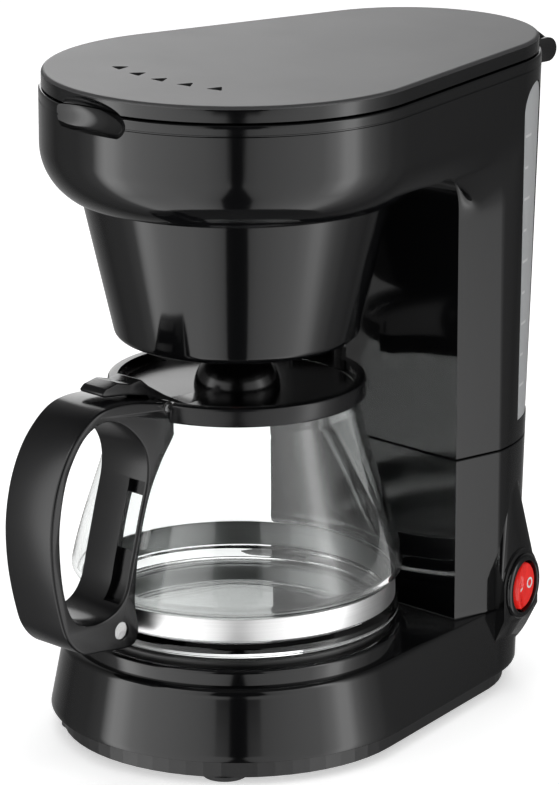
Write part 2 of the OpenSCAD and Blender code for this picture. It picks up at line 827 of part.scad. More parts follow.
// Hose from a heater nipple to the back, round one bend and up to z1
module hose(side, z1) {
    bend_y = pipe_y - hose_bend;
    at_pipe(side) {
        translate([0, 0, heater_z + hose_bend]) difference() {
            cylinder(r = hose_r, h = z1 - heater_z - hose_bend);
            translate([0, 0, -past])
                cylinder(r = pipe_r, h = z1 - heater_z - hose_bend + 2 * past);
        }
        translate([0, -hose_bend, heater_z + hose_bend]) rotate([0, 90, 0])
            rotate_extrude(angle = 90) translate([hose_bend, 0]) hose_section();
        translate([0, hose_y - pipe_y, heater_z]) rotate([-90, 0, 0]) difference() {
            cylinder(r = hose_r, h = bend_y - hose_y);
            translate([0, 0, -past]) cylinder(r = pipe_r, h = bend_y - hose_y + 2 * past);
        }
    }
}

module hose_section() {
    difference() {
        circle(r = hose_r);
        circle(r = pipe_r);
    }
}

module inlet_hose() {
    color("#c9c9c4") row() hose(1, check_z + check_h / 4);
}

module outlet_hose() {
    color("#c9c9c4") row() hose(-1, riser_z + 2 * tank_floor);
}

module hose_clamps() {
    clamp_h = 5;
    clamp_t = 0.8;
    inset = 3;
    color(steel) row() {
        at_pipe(1) tube(hose_r + clamp_t, clamp_t, check_z + inset / 2 - clamp_h / 2,
            check_z + inset / 2 + clamp_h / 2);
        at_pipe(-1) tube(hose_r + clamp_t, clamp_t, riser_z + inset, riser_z + inset + clamp_h);
        for (side = [-1, 1]) translate([side * pipe_x, hose_y + inset / 2, heater_z])
            rotate([-90, 0, 0]) tube(hose_r + clamp_t, clamp_t, 0, clamp_h);
    }
}

// ---- Lower housing -----------------------------------------------------------

module lower_outside() {
    shoulder_n = 5;
    z1 = seam_z - seam_gap / 2;
    top_r = base_r - base_draw;
    loft(concat(
        [[skirt_z, head_plan(base_r, lean_r(skirt_z), lean_y(skirt_z))]],
        [for (i = [0 : shoulder_n]) let (t = 90 * i / shoulder_n,
                z = base_h - shoulder_r * (1 - sin(t)))
            [z, head_plan(top_r - shoulder_r * (1 - cos(t)), lean_r(z), lean_y(z))]],
        [[base_h, column_plan(cheek_x, bay_y, lean_r(base_h), lean_y(base_h))],
         [z1, column_plan(cheek_x, bay_y, lean_r(z1), lean_y(z1))]]));
}

module base_inside() {
    z1 = base_h - wall;
    r1 = base_r - base_draw - wall;
    loft([[skirt_z - past, head_plan(base_r - wall, lean_r(skirt_z) - wall, lean_y(skirt_z))],
        [z1, head_plan(r1, lean_r(z1) - wall, lean_y(z1))]]);
}

// The switch's place: local z along its face's normal, local x downwards
module at_switch() {
    translate([switch_x, switch_y, switch_z]) rotate([0, 90, switch_turn]) children();
}

bezel_t = 1.8;

// Boss that fairs the switch's face into the column
module switch_boss() {
    boss_r = bezel_r + 2.8;
    tip_r = 4;
    turn = atan2(switch_y - back_y + back_lean, switch_x);
    hull() {
        at_switch() translate([0, 0, -wall * 3]) cylinder(r = boss_r, h = wall * 3 - bezel_t, $fn = 32);
        for (z = [skirt_z + 3 * tip_r, seam_z - 3 * tip_r])
            translate([0, lean_y(z), z]) rotate([0, 0, turn])
            translate([lean_r(z) - tip_r - wall / 4, 0, 0]) sphere(r = tip_r, $fn = 16);
    }
}

cover_boss_r = 4.4;
front_boss = base_r - base_draw - shoulder_r - wall - cover_boss_r / 2;
back_boss = lean_r(0) - plinth_in - wall - cover_boss_r;
back_boss_turn = 20;
cover_screw_l = 12;
cover_boss = [[front_boss * cos(30), -front_boss * sin(30)],
    [back_boss * cos(back_boss_turn), lean_y(0) + back_boss * sin(back_boss_turn)]];
boss_top = [base_h - wall / 2, base_h - 3 * wall];
ring_screw_r = (plate_r + ring_r) / 2;
ring_screw_turns = [0, 90, 180, 270];
gland_z = 24;
gland_r = 5;

module lower_housing() {
    color(abs_black) row() difference() {
        union() {
            difference() {
                union() {
                    lower_outside();
                    switch_boss();
                }
                base_inside();
                column_inside(wall, base_h - 2 * wall, seam_z);
            }
            mirrored() for (i = [0, 1])
                translate(cover_boss[i]) disc(cover_boss_r, cover_z, boss_top[i]);
            mirrored() translate(cover_boss[1]) rotate([0, 0, back_boss_turn])
                box([0, -wall / 2, skirt_z + 2 * wall],
                    [lean_r(0) - back_boss - wall / 2, wall / 2, boss_top[1]]);
        }
        disc(plate_hole_r, base_h - 2 * wall, base_h + past);
        for (turn = ring_screw_turns) rotate([0, 0, turn])
            translate([ring_screw_r, 0, 0])
            disc(screw_r + run_gap, base_h - 2 * wall, base_h + past);
        mirrored() for (p = cover_boss) translate(p)
            disc(screw_r, cover_z - past, cover_z + cover_screw_l + past);
        at_switch() disc(switch_hole_r, -switch_d, past);
        translate([0, back_y, gland_z]) rotate([-90, 0, 0]) cylinder(r = gland_r, h = back_r);
    }
}

// ---- Warming plate and heater -----------------------------------------------

module plate_ring() {
    color(soft_black) row() difference() {
        rotate_extrude() polygon([[plate_hole_r, base_h], [ring_r, base_h],
            [ring_r - ledge_t / 2, ring_z - ledge_t / 2], [ring_r - ledge_t, ring_z],
            [plate_r + fit_gap, ring_z], [plate_r + fit_gap, gasket_z], [plate_hole_r, gasket_z]]);
        for (turn = ring_screw_turns) rotate([0, 0, turn])
            translate([ring_screw_r, 0, 0]) disc(screw_r, base_h - past, ring_z - ledge_t);
    }
}

module plate_gasket() {
    color("#9a9a96") row() tube(plate_r, plate_r - plate_hole_r - ledge_t, gasket_z, gasket_z + gasket_t);
}

module warming_plate() {
    r = plate_r;
    z0 = gasket_z + gasket_t;
    color("#26272a") row() rotate_extrude() polygon([[0, plate_z - plate_t],
        [r - plate_t, plate_z - plate_t], [r - plate_t, z0], [r, z0],
        [r, plate_z - plate_t], [r - plate_t / 4, plate_z - plate_t / 4],
        [r - plate_t, plate_z], [0, plate_z]]);
}

module heater() {
    cast_w = 16;
    nipple_in = 10;
    loop = 180 + 2 * heater_turn;
    start = 180 - heater_turn;
    color("#a7a9ac") row() difference() {
        union() {
            rotate([0, 0, start]) rotate_extrude(angle = loop)
                translate([heater_r, heater_z]) circle(r = heater_tube_r);
            rotate([0, 0, start]) rotate_extrude(angle = loop)
                translate([heater_r - cast_w / 2, plate_z - plate_t - cast_t])
                square([cast_w, cast_t]);
            for (side = [-1, 1]) translate([side * pipe_x, nipple_y, heater_z])
                rotate([-90, 0, 0]) cylinder(r = pipe_r, h = hose_y - nipple_y + nipple_in);
            for (side = [-1, 1]) translate([side * pipe_x, nipple_y, heater_z])
                sphere(r = heater_tube_r + 0.4);
        }
        for (side = [-1, 1]) translate([side * pipe_x, nipple_y + nipple_in, heater_z])
            rotate([-90, 0, 0]) cylinder(r = pipe_r - pipe_wall, h = hose_y);
    }
}

strap_z = heater_z - heater_tube_r;

module heater_strap() {
    x0 = plate_hole_r - 2 * strap_t;
    x1 = ring_screw_r + screw_r + fit_gap;
    z1 = base_h - wall;
    y = strap_w / 2;
    color(steel) row() difference() {
        union() {
            box([-x0, -y, strap_z - strap_t], [x0, y, strap_z]);
            mirrored() {
                box([x0 - strap_t, -y, strap_z - strap_t], [x0, y, z1]);
                box([x0 - strap_t, -y, z1 - strap_t], [x1, y, z1]);
            }
        }
        mirrored() translate([ring_screw_r, 0, 0]) disc(screw_r, strap_z, z1 + past);
    }
}

module thermostat() {
    can_r = 7;
    can_h = 6;
    color("#c4c5c7") row() translate([0, -heater_r, 0]) {
        disc(can_r, strap_z - can_h, strap_z);
        for (x = [-can_r / 2, can_r / 2])
            box([x - 0.4, -3, strap_z - can_h - 5], [x + 0.4, 3, strap_z - can_h]);
    }
}

module thermal_fuse() {
    fuse_r = 2.2;
    fuse_l = 13;
    lead = 9;
    z = strap_z - strap_t - fuse_r;
    color("#d6cfa8") row() {
        along_x(fuse_r, 0, z, -fuse_l / 2, fuse_l / 2);
        mirrored() along_x(fuse_r / 4, 0, z, fuse_l / 2, fuse_l / 2 + lead);
    }
}

// Screw about Z: head under z0, shank up to z1
module screw(z0, z1) {
    disc(2 * screw_r, z0 - screw_r, z0);
    disc(screw_r, z0, z1);
}

module ring_screws() {
    z1 = ring_z - ledge_t - fit_gap;
    color(steel) row() for (turn = ring_screw_turns) rotate([0, 0, turn])
        translate([ring_screw_r, 0, 0])
        screw(base_h - wall - (turn % 180 == 0 ? strap_t : 0), z1);
}

// ---- Switch ------------------------------------------------------------------

rocker_z = -rocker_d / 2 + 0.4;
trunnion_r = 1;
well_gap = 0.9;
switch_hole_r = rocker_r + well_gap + 2 * pipe_wall;
barrel_r = switch_hole_r - run_gap;

module switch_bezel() {
    color(abs_black) row() at_switch() difference() {
        union() {
            disc(bezel_r, -bezel_t, 0);
            disc(barrel_r, -switch_d, -bezel_t);
        }
        disc(rocker_r + well_gap, rocker_z - rocker_d, past);
        along_x(trunnion_r + run_gap, 0, rocker_z, -barrel_r - past, barrel_r + past);
    }
}

module switch_rocker() {
    dip = 1.4;
    h = rocker_d / 2;
    r = rocker_r;
    w = r + past;
    color("#b3262b") row() at_switch() translate([0, 0, rocker_z]) rotate([-rock, 0, 0]) {
        intersection() {
            disc(r, -h, h + past);
            across(2 * w) polygon([[-w, -h - past], [w, -h - past],
                [w, h + dip / r], [0, h - dip], [-w, h + dip / r]]);
        }
        along_x(trunnion_r, 0, 0, -barrel_r + fit_gap, barrel_r - fit_gap);
    }
}

module switch_terminals() {
    blade_w = 6.3;
    blade_t = 0.8;
    blade_l = 8;
    color("#c9b36a") row() at_switch() for (x = [-6, 0, 6])
        box([x - blade_t / 2, -blade_w / 2, -switch_d - blade_l],
            [x + blade_t / 2, blade_w / 2, -switch_d]);
}

// ---- Underside ---------------------------------------------------------------

foot_at = [[38, -44], [18, 106]];
foot_peg_r = 2.6;

function plinth_plan(t) =
    head_plan(base_r - plinth_in - t, lean_r(0) - plinth_in - t, lean_y(0));

module bottom_cover() {
    vent_l = 30;
    vent_n = 7;
    pitch = 8;
    color(soft_black) row() difference() {
        translate([0, 0, foot_h]) linear_extrude(skirt_z + wall - foot_h) polygon(plinth_plan(0));
        translate([0, 0, cover_z]) linear_extrude(skirt_z) polygon(plinth_plan(wall));
        mirrored() for (p = cover_boss) translate(p) {
            disc(screw_r, foot_h - past, cover_z + past);
            disc(2 * screw_r + fit_gap, foot_h - past, foot_h + screw_r);
        }
        mirrored() for (p = cover_boss) translate(p)
            disc(cover_boss_r + fit_gap, cover_z, skirt_z + 2 * wall);
        mirrored() for (p = foot_at) translate(p) disc(foot_peg_r, foot_h - past, cover_z + past);
        for (i = [0 : vent_n - 1]) let (x = (i - (vent_n - 1) / 2) * pitch)
            box([x - 1.5, -vent_l / 2, foot_h - past], [x + 1.5, vent_l / 2, cover_z + past]);
    }
}

module rubber_feet() {
    color("#3d3d3d") row() mirrored() for (p = foot_at) translate(p) {
        disc(foot_r, 0, foot_h);
        disc(foot_peg_r, foot_h, cover_z);
    }
}

module cover_screws() {
    color(steel) row() mirrored() for (p = cover_boss) translate(p)
        screw(foot_h + screw_r, cover_z + cover_screw_l);
}

module cord_gland() {
    lip_r = gland_r + 2;
    bore_r = 3.6;
    y = lean_y(gland_z) + lean_r(gland_z);
    color("#232323") row() translate([0, y, gland_z]) rotate([-90, 0, 0]) difference() {
        union() {
            disc(gland_r, -wall * 2, wall);
            disc(lip_r, fit_gap, wall);
            disc(lip_r, -wall * 2, -wall - fit_gap * 2);
        }
        disc(bore_r, -wall * 3, wall * 2);
    }
}

// ---- Jug ---------------------------------------------------------------------

belly_z = band_z + band_h + 3.2;
neck_z = glass_top - collar_h;
collar_top = collar_z + collar_h;
jug_pin_y = -collar_r + 0.6;
jug_knuckle_r = lid_pin_r + 1.1;
jug_pin_z = glass_top + fit_gap + jug_knuckle_r;

// Radius of the glass from the belly, u = 0, to the neck, u = 1
function belly(u) = neck_r + (glass_r - neck_r) * (0.7 * (1 - u) + 0.15 * (1 + cos(180 * u)));
// Side of the glass from the waist up, drawn in by d
function glass_side(d) = let (n = 10) concat(
    [[waist_r - d, band_z - fit_gap], [waist_r - d, band_z + band_h + fit_gap]],
    [for (i = [0 : n]) [belly(i / n) - d, belly_z + (neck_z - belly_z) * i / n]],
    [[neck_r - d, glass_top]]);

module glass_solid(grow) {
    side = glass_side(-grow);
    rotate_extrude() polygon(concat([[0, jug_z]], [[foot_glass_r - 3 + grow, jug_z],
        [foot_glass_r + grow, jug_z + 2], [foot_glass_r + grow, band_z - 2.5]],
        side, [[0, glass_top]]));
}

module carafe_glass() {
    base_t = 3;
    inner = glass_side(glass_t);
    color(clear) row() difference() {
        glass_solid(0);
        rotate_extrude() polygon(concat([[0, jug_z + base_t],
            [waist_r - glass_t - 2, jug_z + base_t]], inner,
            [[neck_r - glass_t, glass_top + past], [0, glass_top + past]]));
    }
}

band_ear_l = 16;
band_ear_y = -waist_r - band_ear_l;
screw_y = band_ear_y + 3.5;
screw_z = band_z + band_h / 2;

module carafe_band() {
    color(steel) row() difference() {
        union() {
            tube(waist_r + band_t, band_t, band_z, band_z + band_h);
            mirrored() box([fit_gap, band_ear_y, band_z], [fit_gap + band_t, -waist_r, band_z + band_h]);
        }
        box([-fit_gap, -waist_r - 2 * band_t, band_z - past],
            [fit_gap, -waist_r + band_t, band_z + band_h + past]);
        disc(waist_r, band_z - past, band_z + band_h + past);
        along_x(screw_r, screw_y, screw_z, -handle_w, handle_w);
    }
}

module band_screw() {
    x = handle_w / 2 - screw_r;
    color(steel) row() {
        along_x(screw_r, screw_y, screw_z, -x, x);
        along_x(2 * screw_r, screw_y, screw_z, x - screw_r / 2, x + screw_r / 2);
    }
}

// Points of the handle's side outline [y, z]: back from the handle's outer face and up
// from the jug's foot, out from the collar, and out from the waist
function outer(a, b) = [a - handle_reach, jug_z + b];
function upper(a, b) = [-collar_r - a, glass_top + b];
function inner(a, b) = [-waist_r - a, jug_z + b];

// Handle's outline and its finger hole, each as points of a smooth closed loop
grip = [upper(-4, 2.7), upper(10.4, 7.2), upper(24.4, 8.6), outer(22, 93.8),
    outer(13.5, 87.7), outer(7, 79.2), outer(2.3, 67.7), outer(0, 53.7), outer(0.7, 38.2),
    outer(3.8, 23.2), outer(7.5, 13.4), outer(14.5, 6.8), outer(24, 5.2), inner(8, 4.2),
    inner(4, 9.2), inner(5.5, 22.2), inner(2.9, 41.6), upper(8.4, -28.3),
    upper(2.4, -16.8), upper(-4.6, -6.3)];
finger = [upper(19.1, -0.6), upper(28.4, 3.5), outer(20, 88.8), outer(13.7, 83.2),
    outer(7.7, 72.2), outer(4.4, 56.2), outer(4.7, 40.2), outer(7, 27.7),
    outer(11.7, 19.5), outer(20.7, 16.8), inner(15.5, 19), inner(9.8, 25.2),
    inner(7, 35.2), upper(13.2, -35.8), upper(9.4, -20.8), upper(11, -9.8)];
loop_n = 4;

// Point at fraction t of the way from point i of a loop to the next
function loop_point(p, i, t) =
    let (n = len(p), a = p[(i + n - 1) % n], b = p[i], c = p[(i + 1) % n], d = p[(i + 2) % n])
    b + t * (c - a) / 2 + t * t * (a - 2.5 * b + 2 * c - d / 2)
    + t * t * t * (1.5 * b - 1.5 * c + (d - a) / 2);

module loop(p) {
    polygon([for (i = [0 : len(p) - 1]) for (k = [0 : loop_n - 1])
        loop_point(p, i, k / loop_n)]);
}

module across(w) {
    rotate([90, 0, 90]) translate([0, 0, -w / 2]) linear_extrude(w) children();
}

// Shallow recess in the finger hole's inner side
module grip_recess() {
    recess = 1.2;
    recess_w = 8;
    recess_h = 43;
    recess_x = 7;
    translate([recess_x, 0, 0]) across(recess_w) intersection() {
        translate([recess, 0]) loop(finger);
        translate(inner(14, 21)) square([glass_r, recess_h]);
    }
}

module carafe_handle() {
    side = handle_w / 2;
    notch = tab_w / 2 + fit_gap;
    mouth = neck_r - glass_t;
    color(abs_black) row() difference() {
        union() {
            difference() {
                union() {
                    across(handle_w) loop(grip);
                    box([-tab_w / 2, inner(8, 0)[0], band_z],
                        [tab_w / 2, -waist_r, band_z + band_h]);
                }
                across(handle_w + 2 * past) loop(finger);
                grip_recess();
                glass_solid(fit_gap);
                disc(neck_r + 1, neck_z, body_h);
                disc(waist_r + band_t, band_z - fit_gap, band_z + band_h + fit_gap);
            }
            disc(collar_r, collar_z, collar_top);
            spout(0);
            mirrored() {
                box([notch, jug_pin_y - jug_knuckle_r, collar_top - 1],
                    [side, jug_pin_y + jug_knuckle_r, jug_pin_z]);
                along_x(jug_knuckle_r, jug_pin_y, jug_pin_z, notch, side);
            }
        }
        disc(neck_r, collar_z - past, glass_top);
        disc(mouth, glass_top - past, body_h);
        spout(1.6);
        box([-notch, jug_pin_y - 2 * jug_knuckle_r, glass_top],
            [notch, -neck_r + 2 * glass_t, body_h]);
        along_x(lid_pin_r, jug_pin_y, jug_pin_z, -side - past, side + past);
        box([-fit_gap - band_t, band_ear_y, band_z],
            [fit_gap + band_t, -waist_r, band_z + band_h]);
        along_x(screw_r, screw_y, screw_z, -handle_w, handle_w);
        mirrored() along_x(2 * screw_r + fit_gap, screw_y, screw_z,
            side - 1.5 * screw_r, handle_w);
    }
}

// Pouring spout opposite the handle, or with t > 0 its inside
module spout(t) {
    y1 = collar_r + spout_out - t;
    z0 = t > 0 ? glass_top : collar_z;
    z1 = t > 0 ? collar_top + past : collar_top;
    translate([0, 0, z0]) linear_extrude(z1 - z0)
        polygon([[-15 + t, neck_r - 4], [15 - t, neck_r - 4], [3 - t / 2, y1], [-3 + t / 2, y1]]);
}

module carafe_lid_pin() {
    x = handle_w / 2 - fit_gap;
    color(steel) row() along_x(lid_pin_r, jug_pin_y, jug_pin_z, -x, x);
}

module carafe_lid() {
    plate_h = 2;
    shell = 1.6;
    z0 = glass_top - plate_h - fit_gap;
    z1 = z0 + plate_h;
    r = neck_r - glass_t - fit_gap;
    top = collar_top + dome_h;
    n = 8;
    color(soft_black) row() difference() {
        union() {
            rotate_extrude() polygon(concat([[0, z0], [r, z0], [r, z1]],
                [for (i = [0 : n]) let (t = 90 * i / n)
                    [dome_r * cos(t), z1 + (top - z1) * sin(t)]]));
            along_x(jug_knuckle_r, jug_pin_y, jug_pin_z, -tab_w / 2, tab_w / 2);
            across(tab_w) polygon([[-r + 6, z0], [-r + 12, z0], [-r + 12, z1],
                [jug_pin_y + 5, jug_pin_z + jug_knuckle_r], [jug_pin_y - 3, jug_pin_z + 7.5],
                [jug_pin_y - 7, jug_pin_z + 10.8], [jug_pin_y - 12, jug_pin_z + 10],
                [jug_pin_y - 18, jug_pin_z + 11.6], [jug_pin_y - 24, jug_pin_z + 10.4],
                [jug_pin_y - 26.5, jug_pin_z + 8.4], [jug_pin_y - 24.5, jug_pin_z + 7.4],
                [jug_pin_y - 13, jug_pin_z + 6], [jug_pin_y - 4, jug_pin_z + 3.9],
                [jug_pin_y - 2, jug_pin_z + 1],
                [jug_pin_y + 2, jug_pin_z], [jug_pin_y + 3, z1 + 2 * fit_gap],
                [-r + 1, z1 + 2 * fit_gap]]);
        }
        rotate_extrude() polygon(concat([[0, z0 - past], [dome_r - shell, z0 - past]],
            [for (i = [0 : n]) let (t = 90 * i / n)
                [(dome_r - shell) * cos(t), z1 + (top - z1 - shell) * sin(t)]]));
        along_x(lid_pin_r + run_gap, jug_pin_y, jug_pin_z, -tab_w, tab_w);
    }
}

top_lid();
lid_hinge_pins();
upper_housing();
level_window();
brew_funnel();
filter_basket();
permanent_filter();
drip_valve();
valve_spring();
spray_head();
riser_tube();
tank_seals();
check_valve_body();
check_ball();
inlet_hose();
outlet_hose();
hose_clamps();
lower_housing();
plate_ring();
plate_gasket();
warming_plate();
heater();
heater_strap();
thermostat();
thermal_fuse();
ring_screws();
switch_bezel();
switch_rocker();
switch_terminals();
bottom_cover();
rubber_feet();
cover_screws();
cord_gland();
carafe_glass();
carafe_band();
band_screw();
carafe_handle();
carafe_lid_pin();
carafe_lid();
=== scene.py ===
"""Drip coffee maker: its visible shells, finishes, light and camera.

Shapes are worked out in millimetres about the brew axis, with +Z up and the front
towards -Y, and raw() sets them in the row frame in metres.
"""

import math

import bmesh
import bpy
import numpy as np
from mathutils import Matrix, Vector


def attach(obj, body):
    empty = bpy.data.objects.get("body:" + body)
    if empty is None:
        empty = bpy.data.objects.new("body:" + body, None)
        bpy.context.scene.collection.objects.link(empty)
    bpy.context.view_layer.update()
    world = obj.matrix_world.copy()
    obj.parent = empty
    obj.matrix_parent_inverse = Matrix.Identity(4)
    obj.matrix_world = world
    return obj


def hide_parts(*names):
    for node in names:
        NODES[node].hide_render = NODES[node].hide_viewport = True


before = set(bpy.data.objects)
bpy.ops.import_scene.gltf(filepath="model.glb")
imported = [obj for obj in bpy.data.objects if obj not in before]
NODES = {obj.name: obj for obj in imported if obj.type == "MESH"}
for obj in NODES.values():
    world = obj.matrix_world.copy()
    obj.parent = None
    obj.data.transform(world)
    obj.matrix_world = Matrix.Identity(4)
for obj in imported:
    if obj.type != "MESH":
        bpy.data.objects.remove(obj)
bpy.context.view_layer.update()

# ---- Sizes, in millimetres ----
HEAD_R, BACK_R, BACK_Y = 71.5, 50.5, 89.5
BACK_LEAN, BACK_FLARE = 13.5, 2.0
LID_TOP, RIM_Z, LID_Z = 250.0, 243.5, 244.0
DECK_Z, DECK_TOP = 210.0, 213.0
BOWL_R, BOWL_Z = 22.0, 223.0
WALL, CORNER = 2.4, 17.0
BAY_Y, CHEEK_X, CEILING_X, CREASE_Y = 66.5, 48.5, 55.0, 88.0
SEAM_TOP, SEAM_LOW = 97.75, 97.25
TANK_Z = 101.75
BASE_H, BASE_R, BASE_DRAW, SHOULDER, SKIRT_Z = 35.0, 70.0, 4.5, 3.0, 8.5
SCOOP_W, SCOOP_D, SCOOP_H, SCOOP_FLOOR = 40.0, 6.8, 8.0, 235.9
SCOOP_AT = (-3.5, -HEAD_R, 240.6)
FLOW_LOW, FLOW_HIGH = 190.0, 218.0  # heights between which the head flows into the column
RIM_EDGE, RIM_IN = 0.8, 1.4
HINGE_Y, HINGE_Z, KNUCKLE_R, KNUCKLE_X, KNUCKLE_W = 146.0, 238.0, 4.6, 14.0, 7.0
EAR_T, EAR_ROUND = 3.0, 4.59
FUNNEL_TOP_R, FUNNEL_FOOT_R, FUNNEL_Z, FUNNEL_TOP = 57.0, 44.5, 150.0, 204.8
WELL_R, CUP_WALL = 55.2, 1.8
PLATE_R, RING_R, PLATE_HOLE_R, PLATE_Z, RING_Z = 57.0, 62.0, 52.0, 43.5, 41.0
CUP_FLOOR_R, CUP_FLOOR_Z, FLAT_BACK_Y = 43.5, 154.5, 49.2
PIPE_X, PIPE_Y, NOTCH_HALF, NOTCH_Z = 24.0, 78.0, 8.5, 232.7
WINDOW_TURN, WINDOW_W, WINDOW_LOW, WINDOW_HIGH = 27.0, 23.0, 105.5, 234.5
JUG_Z, GLASS_TOP, GLASS_T = 43.8, 130.8, 2.2
NECK_R, GLASS_R, FOOT_R, WAIST_R = 45.0, 62.0, 60.0, 58.0
BAND_Z, BAND_H, BAND_T, BAND_EAR = 50.8, 8.5, 0.6, 16
BELLY_Z, NECK_Z = 62.5, 123.8
COLLAR_R, COLLAR_Z, COLLAR_TOP = 47.6, 127.8, 134.8
HANDLE_W, HANDLE_REACH, TAB_W = 25.0, 104.0, 12.0
PIN_Y, PIN_Z, EYE_R = -47.0, 133.7, 2.6
SWITCH_AT, SWITCH_TURN, BEZEL_R, BEZEL_T = (54.5, 99.8, 42.0), 15.0, 12.5, 1.8
ROCKER_R, ROCKER_H, ROCKER_DIP, ROCKER_OUT, ROCK = 9.0, 2.6, 1.4, -2.2, math.radians(8)
BARREL_HOLE_R, FACE_R, FACE_FOOT = 11.9, 14.6, 26.0
GLAND_R, GLAND_Z = 5.0, 24.0
ROW_Y = -23.3
GAP = 0.3
ABOVE = 200.0  # a height over everything that a jug's tool has to cut


def lean_y(z):
    """Centre of the round back, which leans forward from the rim down."""
    return BACK_Y - BACK_LEAN * (RIM_Z - z) / RIM_Z


def lean_r(z):
    """Radius of the round back, which widens from the rim down."""
    return BACK_R + BACK_FLARE * (RIM_Z - z) / RIM_Z


def bowl_in(z):
    """How far a quarter round under BOWL_Z has drawn the head's side in at height z."""
    low = np.minimum(z, BOWL_Z)
    return BOWL_R - np.sqrt(BOWL_R ** 2 - (BOWL_Z - low) ** 2)


def smooth(t):
    """Smoothstep: 3t^2 - 2t^3 between 0 and 1."""
    t = np.clip(t, 0, 1)
    return t * t * (3 - 2 * t)


# ---- Plans and skins ----
N_FRONT, N_CHEEK, N_SIDE, N_BACK = 150, 22, 8, 150


def quarter(n):
    """n even angles from 0 to a right angle."""
    return np.linspace(0, np.pi / 2, n)


def circle(n):
    """n even angles once round."""
    return np.linspace(0, 2 * np.pi, n, endpoint=False)


def polar(r, t):
    """Points (r cos t, r sin t)."""
    return np.stack([r * np.cos(t), r * np.sin(t)], -1)


def column_of(*values):
    """Each value as a column, so that one row of a plan belongs to one height."""
    return [np.reshape(np.asarray(v, float), (-1, 1)) for v in values]


def arc(r, y, a0, a1, n):
    """Rows of points (r cos t, y + r sin t), with t running evenly from a0 to a1 degrees."""
    r, y, a0, a1 = column_of(r, y, a0, a1)
    t = np.radians(a0 + (a1 - a0) * np.linspace(0, 1, n + 1))
    return np.stack(np.broadcast_arrays(r * np.cos(t), y + r * np.sin(t)), -1)


def between(p, q, n):
    """n even steps along straight lines from p to q, without their ends."""
    u = np.linspace(0, 1, n + 2)[1:-1, None]
    return p[:, None] * (1 - u) + q[:, None] * u


def ring_of(front, crease_right, back, crease_left):
    """One closed plan for each height: front, cheek, crease, round back, crease, cheek."""
    k = max(len(front), len(back))
    front, back = (np.broadcast_to(v, (k,) + v.shape[1:]) for v in (front, back))
    return np.concatenate([
        front, between(front[:, -1], crease_right, N_CHEEK), crease_right[:, None],
        between(crease_right, back[:, 0], N_SIDE), back,
        between(back[:, -1], crease_left, N_SIDE), crease_left[:, None],
        between(crease_left, front[:, 0], N_CHEEK)], 1)


def round_back(front, crease, s, y, a):
    """A plan whose back is the circle of radius s about (0, y), from a degrees on."""
    ring = ring_of(front, crease, arc(s, y, 16, 164, N_BACK), crease * (-1, 1))
    side = arc(s, y, a, 16, N_SIDE + 1)[:, 1:-1]
    at = N_FRONT + N_CHEEK + 2
    ring[:, at:at + N_SIDE] = side
    at += N_SIDE + N_BACK + 1
    ring[:, at:at + N_SIDE] = side[:, ::-1] * (-1, 1)
    return ring


def head_plan(r, s, y):
    """A front arc of radius r and a back arc of radius s about (0, y), joined by the
    two straight lines that touch both."""
    r, s, y = np.broadcast_arrays(*np.atleast_1d(r, s, y))
    a = np.degrees(np.arcsin((r - s) / y))
    front = arc(r, 0 * y, 180 - a, 360 + a, N_FRONT)
    p, q = front[:, -1], arc(s, y, a, a, 0)[:, 0]
    flat = p + (q - p) * ((CREASE_Y - p[:, 1]) / (q[:, 1] - p[:, 1]))[:, None]
    c = np.degrees(np.arcsin(np.clip((CREASE_Y - y) / s, -1, 1)))
    crease = np.where((c > a)[:, None], arc(s, y, c, c, 0)[:, 0], flat)
    return round_back(front, crease, s, y, np.maximum(a, c))


def column_plan(w, y_front, s, y):
    """A flat front of half width w, cheeks back to the crease, and a round back."""
    w, y_front, s, y = np.broadcast_arrays(*np.atleast_1d(w, y_front, s, y))
    u = np.linspace(-1, 1, N_FRONT + 1)
    front = np.stack([w[:, None] * u, y_front[:, None] + 0 * u], -1)
    a = np.degrees(np.arcsin((CREASE_Y - y) / s))
    return round_back(front, arc(s, y, a, a, 0)[:, 0], s, y, a)


def at_heights(plans, z):
    """Plans (k, n, 2) and heights (k) as points (k, n, 3)."""
    z = np.broadcast_to(np.reshape(z, (-1, 1)), plans.shape[:2])
    return np.concatenate([plans, z[..., None]], -1)


def skin(p, ends=True, wrap=False):
    """Faces between the rows of a grid of points, each row a closed ring: flat ends close
    it, or wrap joins its last row to its first."""
    k, n = p.shape[:2]
    i = np.arange(k * n).reshape(k, n)
    a, b = (i, np.roll(i, -1, 0)) if wrap else (i[:-1], i[1:])
    faces = np.stack([a, np.roll(a, -1, 1), np.roll(b, -1, 1), b], -1).reshape(-1, 4).tolist()
    if ends and not wrap:
        faces += [i[0, ::-1].tolist(), i[-1].tolist()]
    return p.reshape(-1, 3), faces


def rounded(points, radii, steps=6):
    """Outline whose corners are arcs that touch both sides, so each starts
    r / tan(half the corner's angle) before its corner."""
    p = np.asarray(points, float)
    r = np.broadcast_to(np.asarray(radii, float), len(p))
    a, b = np.roll(p, 1, 0) - p, np.roll(p, -1, 0) - p
    a /= np.linalg.norm(a, axis=1)[:, None]
    b /= np.linalg.norm(b, axis=1)[:, None]
    half = np.arccos(np.clip((a * b).sum(1), -1, 1)) / 2
    mid = a + b
    mid /= np.maximum(np.linalg.norm(mid, axis=1), 1e-9)[:, None]
    out = []
    for c, u, v, m, h, q in zip(p, a, b, mid, half, r):
        if q <= 0 or h > 1.55:
            out.append(c[None])
            continue
        centre = c + m * q / math.sin(h)
        s, e = c + u * q / math.tan(h) - centre, c + v * q / math.tan(h) - centre
        t = np.linspace(0, 1, steps + 1)[:, None]
        w = math.acos(np.clip(s @ e / q / q, -1, 1))
        out.append(centre + (np.sin((1 - t) * w) * s + np.sin(t * w) * e) / math.sin(w))
    return np.concatenate(out)


